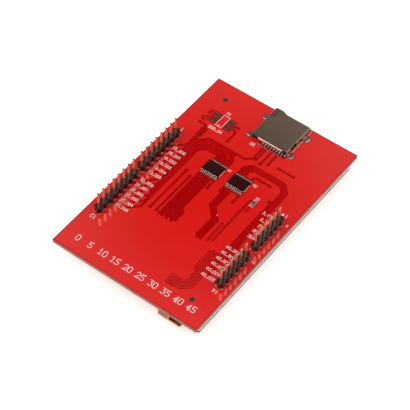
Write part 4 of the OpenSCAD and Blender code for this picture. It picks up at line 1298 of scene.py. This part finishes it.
    def _lacquer(self) -> None:
        """Coat the tracks, which show darker through the lacquer than the wide copper round them."""
        mesh = welded(self.dresser.nodes["copper_layer"])
        shapes = islands(mesh)
        wide = max(shapes, key=len)
        plain = {face for shape in shapes if shape is wide or self._is_bright(shape) for face in shape}
        spare = [face for face in mesh.faces if face in plain or face.normal.z < self.upward]
        bmesh.ops.delete(mesh, geom=spare, context="FACES")
        rims = [edge for edge in mesh.edges if edge.is_boundary]
        lift = Vector((0.0, 0.0, self.coat * MM))
        raised = {corner: mesh.verts.new(corner.co + lift) for corner in list(mesh.verts)}
        for face in list(mesh.faces):
            mesh.faces.new([raised[corner] for corner in face.verts])
        for near, far in (edge.verts for edge in rims):
            mesh.faces.new((near, far, raised[far], raised[near]))
        finished(mesh, "track_lacquer", self.finishes.track_mask)

    def _is_bright(self, shape: Sequence[bmesh.types.BMFace]) -> bool:
        """Say whether a track's middle lies in a box of tracks as bright as the wide copper."""
        middle = sum((face.calc_center_median() for face in shape), Vector()) / (len(shape) * MM)
        return any(x0 < middle.x < x1 and y0 < middle.y < y1 for x0, y0, x1, y1 in self.bright)

    def _drills(self) -> None:
        """Mark the lacquered holes of the vias."""
        holes = Relief(BOARD_TOP, self.via_rise)
        for via in self.vias:
            holes.disc(via, self.via_hole, self.via_sides)
        holes.build("via_holes", self.finishes.laminate, "laminate")

    def _bare_rings(self) -> None:
        """Leave the laminate bare round the fiducials, which have gone dull."""
        rings = Relief(self.copper, self.ring_rise)
        dots = Relief(BOARD_TOP, self.coat)
        for middle in self.fiducials:
            rings.ring(middle, self.fiducial, self.fiducial_ring, self.ring_sides)
            dots.disc(middle, self.fiducial - self.fiducial_gap, self.fiducial_sides)
        rings.build("fiducial_rings", self.finishes.bare_laminate, "laminate")
        dots.build("fiducial_dots", self.finishes.tarnish, "tin")

    def _print(self) -> None:
        """Print the white outlines and figures."""
        ink = Relief(BOARD_TOP, self.ink_rise)
        self._outlines(ink)
        self._pin_figures(ink)
        self._part_figures(ink)
        self._scale(ink)
        ink.build("white_print", self.finishes.ink, "frame_plastic")

    def _outlines(self, ink: Relief) -> None:
        """Draw the outlines of fitted and spare parts.

        Args:
            ink: What takes the lines.
        """
        ink.stroke(around(self.spare_part), self.line, True)
        x0, y0, x1, y1 = self.spare_mark
        ink.stroke([(x0, y0), (x0, y1), (x1, y1), (x1, y0)], self.thin_line, layer=1)
        for run in self.socket_runs:
            ink.stroke([(self.socket_side, y) for y in run], self.thin_line)
        for middle in self.chips:
            for x in (middle - self.chip_side, middle + self.chip_side):
                ink.stroke([(x, y) for y in self.chip_run], self.line)
        ink.stroke(around(self.resistor), self.thin_line, True)
        for x, y, places in self.headers:
            near, far = y + self.header_gap, y + places * self.header_pitch - self.header_gap
            ink.stroke(around(beside(x, self.header_half, near, far)), self.thin_line, True)
        ink.prism(self.arrow)
        ink.disc(self.dot, self.dot_size, self.dot_sides)

    def _pin_figures(self, ink: Relief) -> None:
        """Print plain figures beside the pins.

        Args:
            ink: What takes the lines.
        """
        for index, y in enumerate(self.left_rows):
            group, place = divmod(index, self.left_group)
            self.pin_font.write(ink, f"{10 + 10 * group}_{place:03d}", (self.left_column, y))
        for text, middle in self.upper_right:
            self.pin_font.write(ink, text, middle)
        for index, y in enumerate(self.right_rows):
            self.pin_font.write(ink, f"40_{index:03d}", (self.right_column, y))

    def _part_figures(self, ink: Relief) -> None:
        """Print plain figures beside the parts and at the headers' ends.

        Args:
            ink: What takes the lines.
        """
        for table, turned in ((self.upright, False), (self.turned, True)):
            for font, labels in table:
                for text, middle in labels:
                    font.write(ink, text, middle, turned)

    def _scale(self, ink: Relief) -> None:
        """Print a plain scale of figures along the near edge.

        Args:
            ink: What takes the lines.
        """
        x, y = self.scale_start
        for index in range(self.scale_count):
            self.scale_font.write(ink, str(self.scale_step * index), (x + self.scale_pitch * index, y))


@dataclass
class PinHeaders(SubAssembly):
    """The four rows of square pins in their black housings."""

    rows: tuple[str, ...] = ("lower_left", "upper_left", "lower_right", "upper_right")
    housing_edge: float = 0.1
    pin_edge: float = 0.05

    def dress(self) -> None:
        """Give housings, pins and solder their finishes and soft edges."""
        for row in self.rows:
            self.dresser.paint(self.finishes.housing, f"{row}_housing")
            self.dresser.soften(self.housing_edge, f"{row}_housing")
            self.dresser.paint(self.finishes.gold, f"{row}_pins")
            self.dresser.soften(self.pin_edge, f"{row}_pins")
        self.dresser.paint(self.finishes.solder, "header_solder")


@dataclass
class BusChips(SubAssembly):
    """The two many-legged chips and the chip resistor."""

    chips: tuple[Point, ...] = ((-5.3, 9.95), (4.75, 9.95))
    body_edge: float = 0.06
    lead_edge: float = 0.02
    leads: int = 10
    pitch: float = 0.65
    reach: float = 3.2
    overlap: float = 0.08
    pad: Point = (0.27, 0.32)
    pad_rise: float = 0.1
    pad_steps: int = 5
    resistor: Point = (13.2, 6.3)
    cap_start: float = 0.78
    cap_run: float = 0.42
    cap_half: float = 0.42
    cap_rise: float = 0.3
    cap_steps: int = 6

    def dress(self) -> None:
        """Give the parts their finishes."""
        for side in ("left", "right"):
            self.dresser.paint(self.finishes.mould, f"{side}_chip_body")
            self.dresser.soften(self.body_edge, f"{side}_chip_body")
            self.dresser.paint(self.finishes.tin, f"{side}_chip_leads")
            self.dresser.soften(self.lead_edge, f"{side}_chip_leads")
        self.dresser.paint(self.finishes.glaze, "resistor_body")
        self.dresser.paint(self.finishes.dull_solder, "resistor_caps")
        self.dresser.soften(self.lead_edge, "resistor_caps")

    def build(self) -> None:
        """Solder the feet to their pads."""
        feet = bmesh.new()
        caps = bmesh.new()
        for middle in self.chips:
            for side in (-1, 1):
                near = middle[1] + side * (self.reach - self.overlap)
                far = near + side * self.pad[1]
                for index in range(self.leads):
                    x = middle[0] + (index - (self.leads - 1) / 2) * self.pitch
                    box = beside(x, self.pad[0] / 2, near, far)
                    SolderMound(box, BOARD_TOP, self.pad_rise, self.pad_steps).add(feet)
        for side in (-1, 1):
            near = self.resistor[1] + side * self.cap_start
            box = beside(self.resistor[0], self.cap_half, near, near + side * self.cap_run)
            SolderMound(box, BOARD_TOP, self.cap_rise, self.cap_steps).add(caps)
        finished(feet, "chip_solder", self.finishes.pad, True)
        finished(caps, "resistor_solder", self.finishes.dull_solder, True)


@dataclass
class CardSocket(SubAssembly):
    """The memory card socket with its steel shell and push-push slider."""

    middle: float = 3.15
    side: float = 7.15
    reach: float = 1.7
    shell_edge: float = 0.07
    tabs: tuple[Point, ...] = ((38.8, 1.9), (29.45, 1.4))
    tab_inset: float = 0.25
    tab_rise: float = 0.14
    tab_slope: float = 0.2
    contacts: int = 9
    first: float = 0.95
    pitch: float = 1.1
    foot: float = 27.75
    foot_half: float = 0.2
    foot_run: Point = (-0.2, 0.12)
    foot_rise: float = 0.08
    foot_steps: int = 6
    stroke: float = 3.6

    def dress(self) -> None:
        """Give the socket's nodes their finishes."""
        self.dresser.paint(self.finishes.steel, "socket_shell")
        self.dresser.soften(self.shell_edge, "socket_shell")
        self.dresser.paint(self.finishes.socket, "socket_base")
        self.dresser.paint(self.finishes.strip, "socket_contacts", "detect_contact")
        self.dresser.paint(self.finishes.slider, "card_slider")
        self.dresser.paint(self.finishes.wire, "cam_pin")

    def build(self) -> None:
        """Fit the slider's coil, and solder the shell's tabs and the contacts' feet."""
        self._coil()
        joints = bmesh.new()
        for sign in (-1, 1):
            near = self.middle + sign * (self.side + self.tab_inset)
            far = self.middle + sign * (self.side + self.reach)
            for y, width in self.tabs:
                low, high = y - sign * width / 2, y + sign * width / 2
                path = [(near, low), (far, low), (far, high), (near, high)]
                SolderFillet(path, BOARD_TOP, self.tab_rise, self.tab_slope).add(joints)
        finished(joints, "socket_solder", self.finishes.solder, True)
        feet = bmesh.new()
        near, far = (self.foot + step for step in self.foot_run)
        for index in range(self.contacts):
            box = beside(self.first + index * self.pitch, self.foot_half, near, far)
            SolderMound(box, BOARD_TOP, self.foot_rise, self.foot_steps).add(feet)
        finished(feet, "contact_solder", self.finishes.pad, True)

    def _coil(self) -> None:
        """Fit a smooth coil in place of the spring, which shortens towards the rear wall with the slider;
        the coil itself keeps one shape.
        """
        mesh = welded(self.dresser.nodes["slider_spring"])
        coil = finished(mesh, "coil_spring", self.finishes.wire, True)
        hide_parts("slider_spring")
        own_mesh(coil)


@dataclass
class DisplayModule(SubAssembly):
    """The touch panel, the cell, the backlight and what holds them."""

    edge: float = 0.1

    def dress(self) -> None:
        """Give each layer its finish."""
        paint = self.dresser.paint
        done = self.finishes
        paint(done.film, "touch_film")
        paint(done.border, "touch_adhesive")
        paint(done.glass, "touch_glass", "colour_filter_glass", "transistor_glass", "light_guide")
        paint(done.tail, "touch_tail")
        paint(done.flex, "display_flex", "lamp_strip")
        paint(done.foam, "touch_gasket", "mounting_tape")
        paint(done.dark, "front_polarizer", "rear_polarizer")
        paint(done.mould, "driver_chip")
        paint(done.tape, "rim_tape")
        paint(done.frame, "backlight_frame")
        paint(done.ridged, "upper_prism_film", "lower_prism_film")
        paint(done.pale, "diffuser_sheet", "reflector_sheet")
        paint(done.lamp, "backlight_lamps")
        paint(done.tray, "rear_tray")
        self.dresser.soften(self.edge, "rear_tray", "backlight_frame")


@dataclass
class Studio:
    """Pale floor, two soft lamps, a pale room with a dark opening and a dim skirting, and the camera."""

    floor_half: float = 4.0
    floor_drop: float = 0.00002
    floor_colour: Colour = (0.93, 0.925, 0.92)
    floor_roughness: float = 0.9
    floor_glow: Colour = (1.0, 0.88, 0.84)
    floor_lift: float = 0.47
    opening: Triple = (-0.3762, 0.5020, 0.7788)
    opening_reach: Point = (0.02, 0.125)
    opening_dark: Colour = (0.05, 0.04, 0.035)
    wall_pale: Colour = (0.8, 0.79, 0.78)
    skirting: Colour = (0.3, 0.27, 0.25)
    skirting_reach: Point = (0.2, 0.5)
    lamps: tuple[tuple[str, Triple, float, float], ...] = (
        ("left_softbox", (-0.45, -0.60, 0.94), 0.6, 4.0),
        ("right_softbox", (0.45, 0.60, 0.94), 0.55, 1.9),
    )
    lens: float = 141.714
    sensor: float = 36.0
    shift: Point = (0.0003, -0.00046)
    nearest: float = 0.01
    eye: Triple = (194.42, -259.08, 407.66)
    back: Triple = (0.3764, -0.4983, 0.7811)
    up: Triple = (-0.4745, 0.6204, 0.6244)

    def build(self) -> None:
        """Build the studio."""
        self._floor()
        self._world()
        for lamp in self.lamps:
            self._lamp(*lamp)
        self._camera()

    def _floor(self) -> None:
        """Lay a pale floor under the screen."""
        half = self.floor_half
        data = bpy.data.meshes.new("floor")
        data.from_pydata([(x, y, 0.0) for x, y in around((-half, -half, half, half))], [], [(0, 1, 2, 3)])
        shader = Shader("pale_floor", self.floor_colour, self.floor_roughness)
        shader.put("Specular IOR Level", 0.0)
        shader.put("Emission Color", (*self.floor_glow, 1.0))
        path = shader.node("ShaderNodeLightPath").outputs
        seen = shader.maths(Sum.TOTAL, path["Is Camera Ray"], path["Is Glossy Ray"])
        seen = shader.maths(Sum.TOTAL, seen, path["Is Transmission Ray"])
        shader.drive("Emission Strength", shader.span(seen, 0.0, self.floor_lift))
        data.materials.append(shader.material)
        floor = bpy.data.objects.new("floor", data)
        floor.location.z = -self.floor_drop
        bpy.context.scene.collection.objects.link(floor)

    def _world(self) -> None:
        """Make a pale room with a dark round opening in it and a dim skirting."""
        world = bpy.data.worlds.new("room")
        world.use_nodes = True
        nodes = Nodes(world.node_tree)
        way = nodes.node("ShaderNodeTexCoord").outputs["Generated"]
        away = nodes.node("ShaderNodeVectorMath", operation="DISTANCE")
        away.inputs[1].default_value = self.opening
        nodes.join(way, away.inputs[0])
        above = nodes.share(nodes.part(way, Axis.Z), *self.skirting_reach, Curve.SOFT)
        walls = nodes.mixed(above, self.skirting, self.wall_pale)
        beyond = nodes.share(away.outputs["Value"], *self.opening_reach, Curve.SOFT)
        room = nodes.mixed(beyond, self.opening_dark, walls)
        nodes.join(room, nodes.tree.nodes["Background"].inputs["Color"])
        bpy.context.scene.world = world

    def _lamp(self, name: str, place: Triple, size: float, power: float) -> None:
        """Hang a square lamp that looks at the object.

        Args:
            name: Name of the lamp.
            place: Its place.
            size: Its side.
            power: Its power in watts.
        """
        data = bpy.data.lights.new(name, "AREA")
        data.shape = "SQUARE"
        data.size = size
        data.energy = power
        lamp = bpy.data.objects.new(name, data)
        lamp.location = place
        lamp.rotation_euler = Vector(place).to_track_quat("Z", "Y").to_euler()
        bpy.context.scene.collection.objects.link(lamp)

    def _camera(self) -> None:
        """Stand the camera where the photograph was taken from, with its eye in millimetres."""
        data = bpy.data.cameras.new("camera")
        data.lens = self.lens
        data.sensor_width = self.sensor
        data.shift_x, data.shift_y = self.shift
        data.clip_start = self.nearest
        camera = bpy.data.objects.new("camera", data)
        back = Vector(self.back).normalized()
        right = Vector(self.up).cross(back).normalized()
        up = back.cross(right)
        turn = Matrix((right, up, back)).transposed().to_4x4()
        camera.matrix_world = Matrix.Translation(Vector(self.eye) * MM) @ turn
        bpy.context.scene.collection.objects.link(camera)
        bpy.context.scene.camera = camera


def main() -> None:
    """Dress the frame, build the pieces and set the studio."""
    logging.basicConfig(level=logging.INFO, format="%(message)s")
    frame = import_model()
    bpy.context.scene.view_settings.view_transform = "Standard"
    finishes = Finishes()
    dresser = Dresser(frame["nodes"])
    for kind in (CircuitBoard, PinHeaders, BusChips, CardSocket, DisplayModule):
        group = kind(dresser, finishes)
        group.dress()
        group.build()
        log.info("group %s: done", kind.__name__)
    Studio().build()


if __name__ == "__main__":
    main()
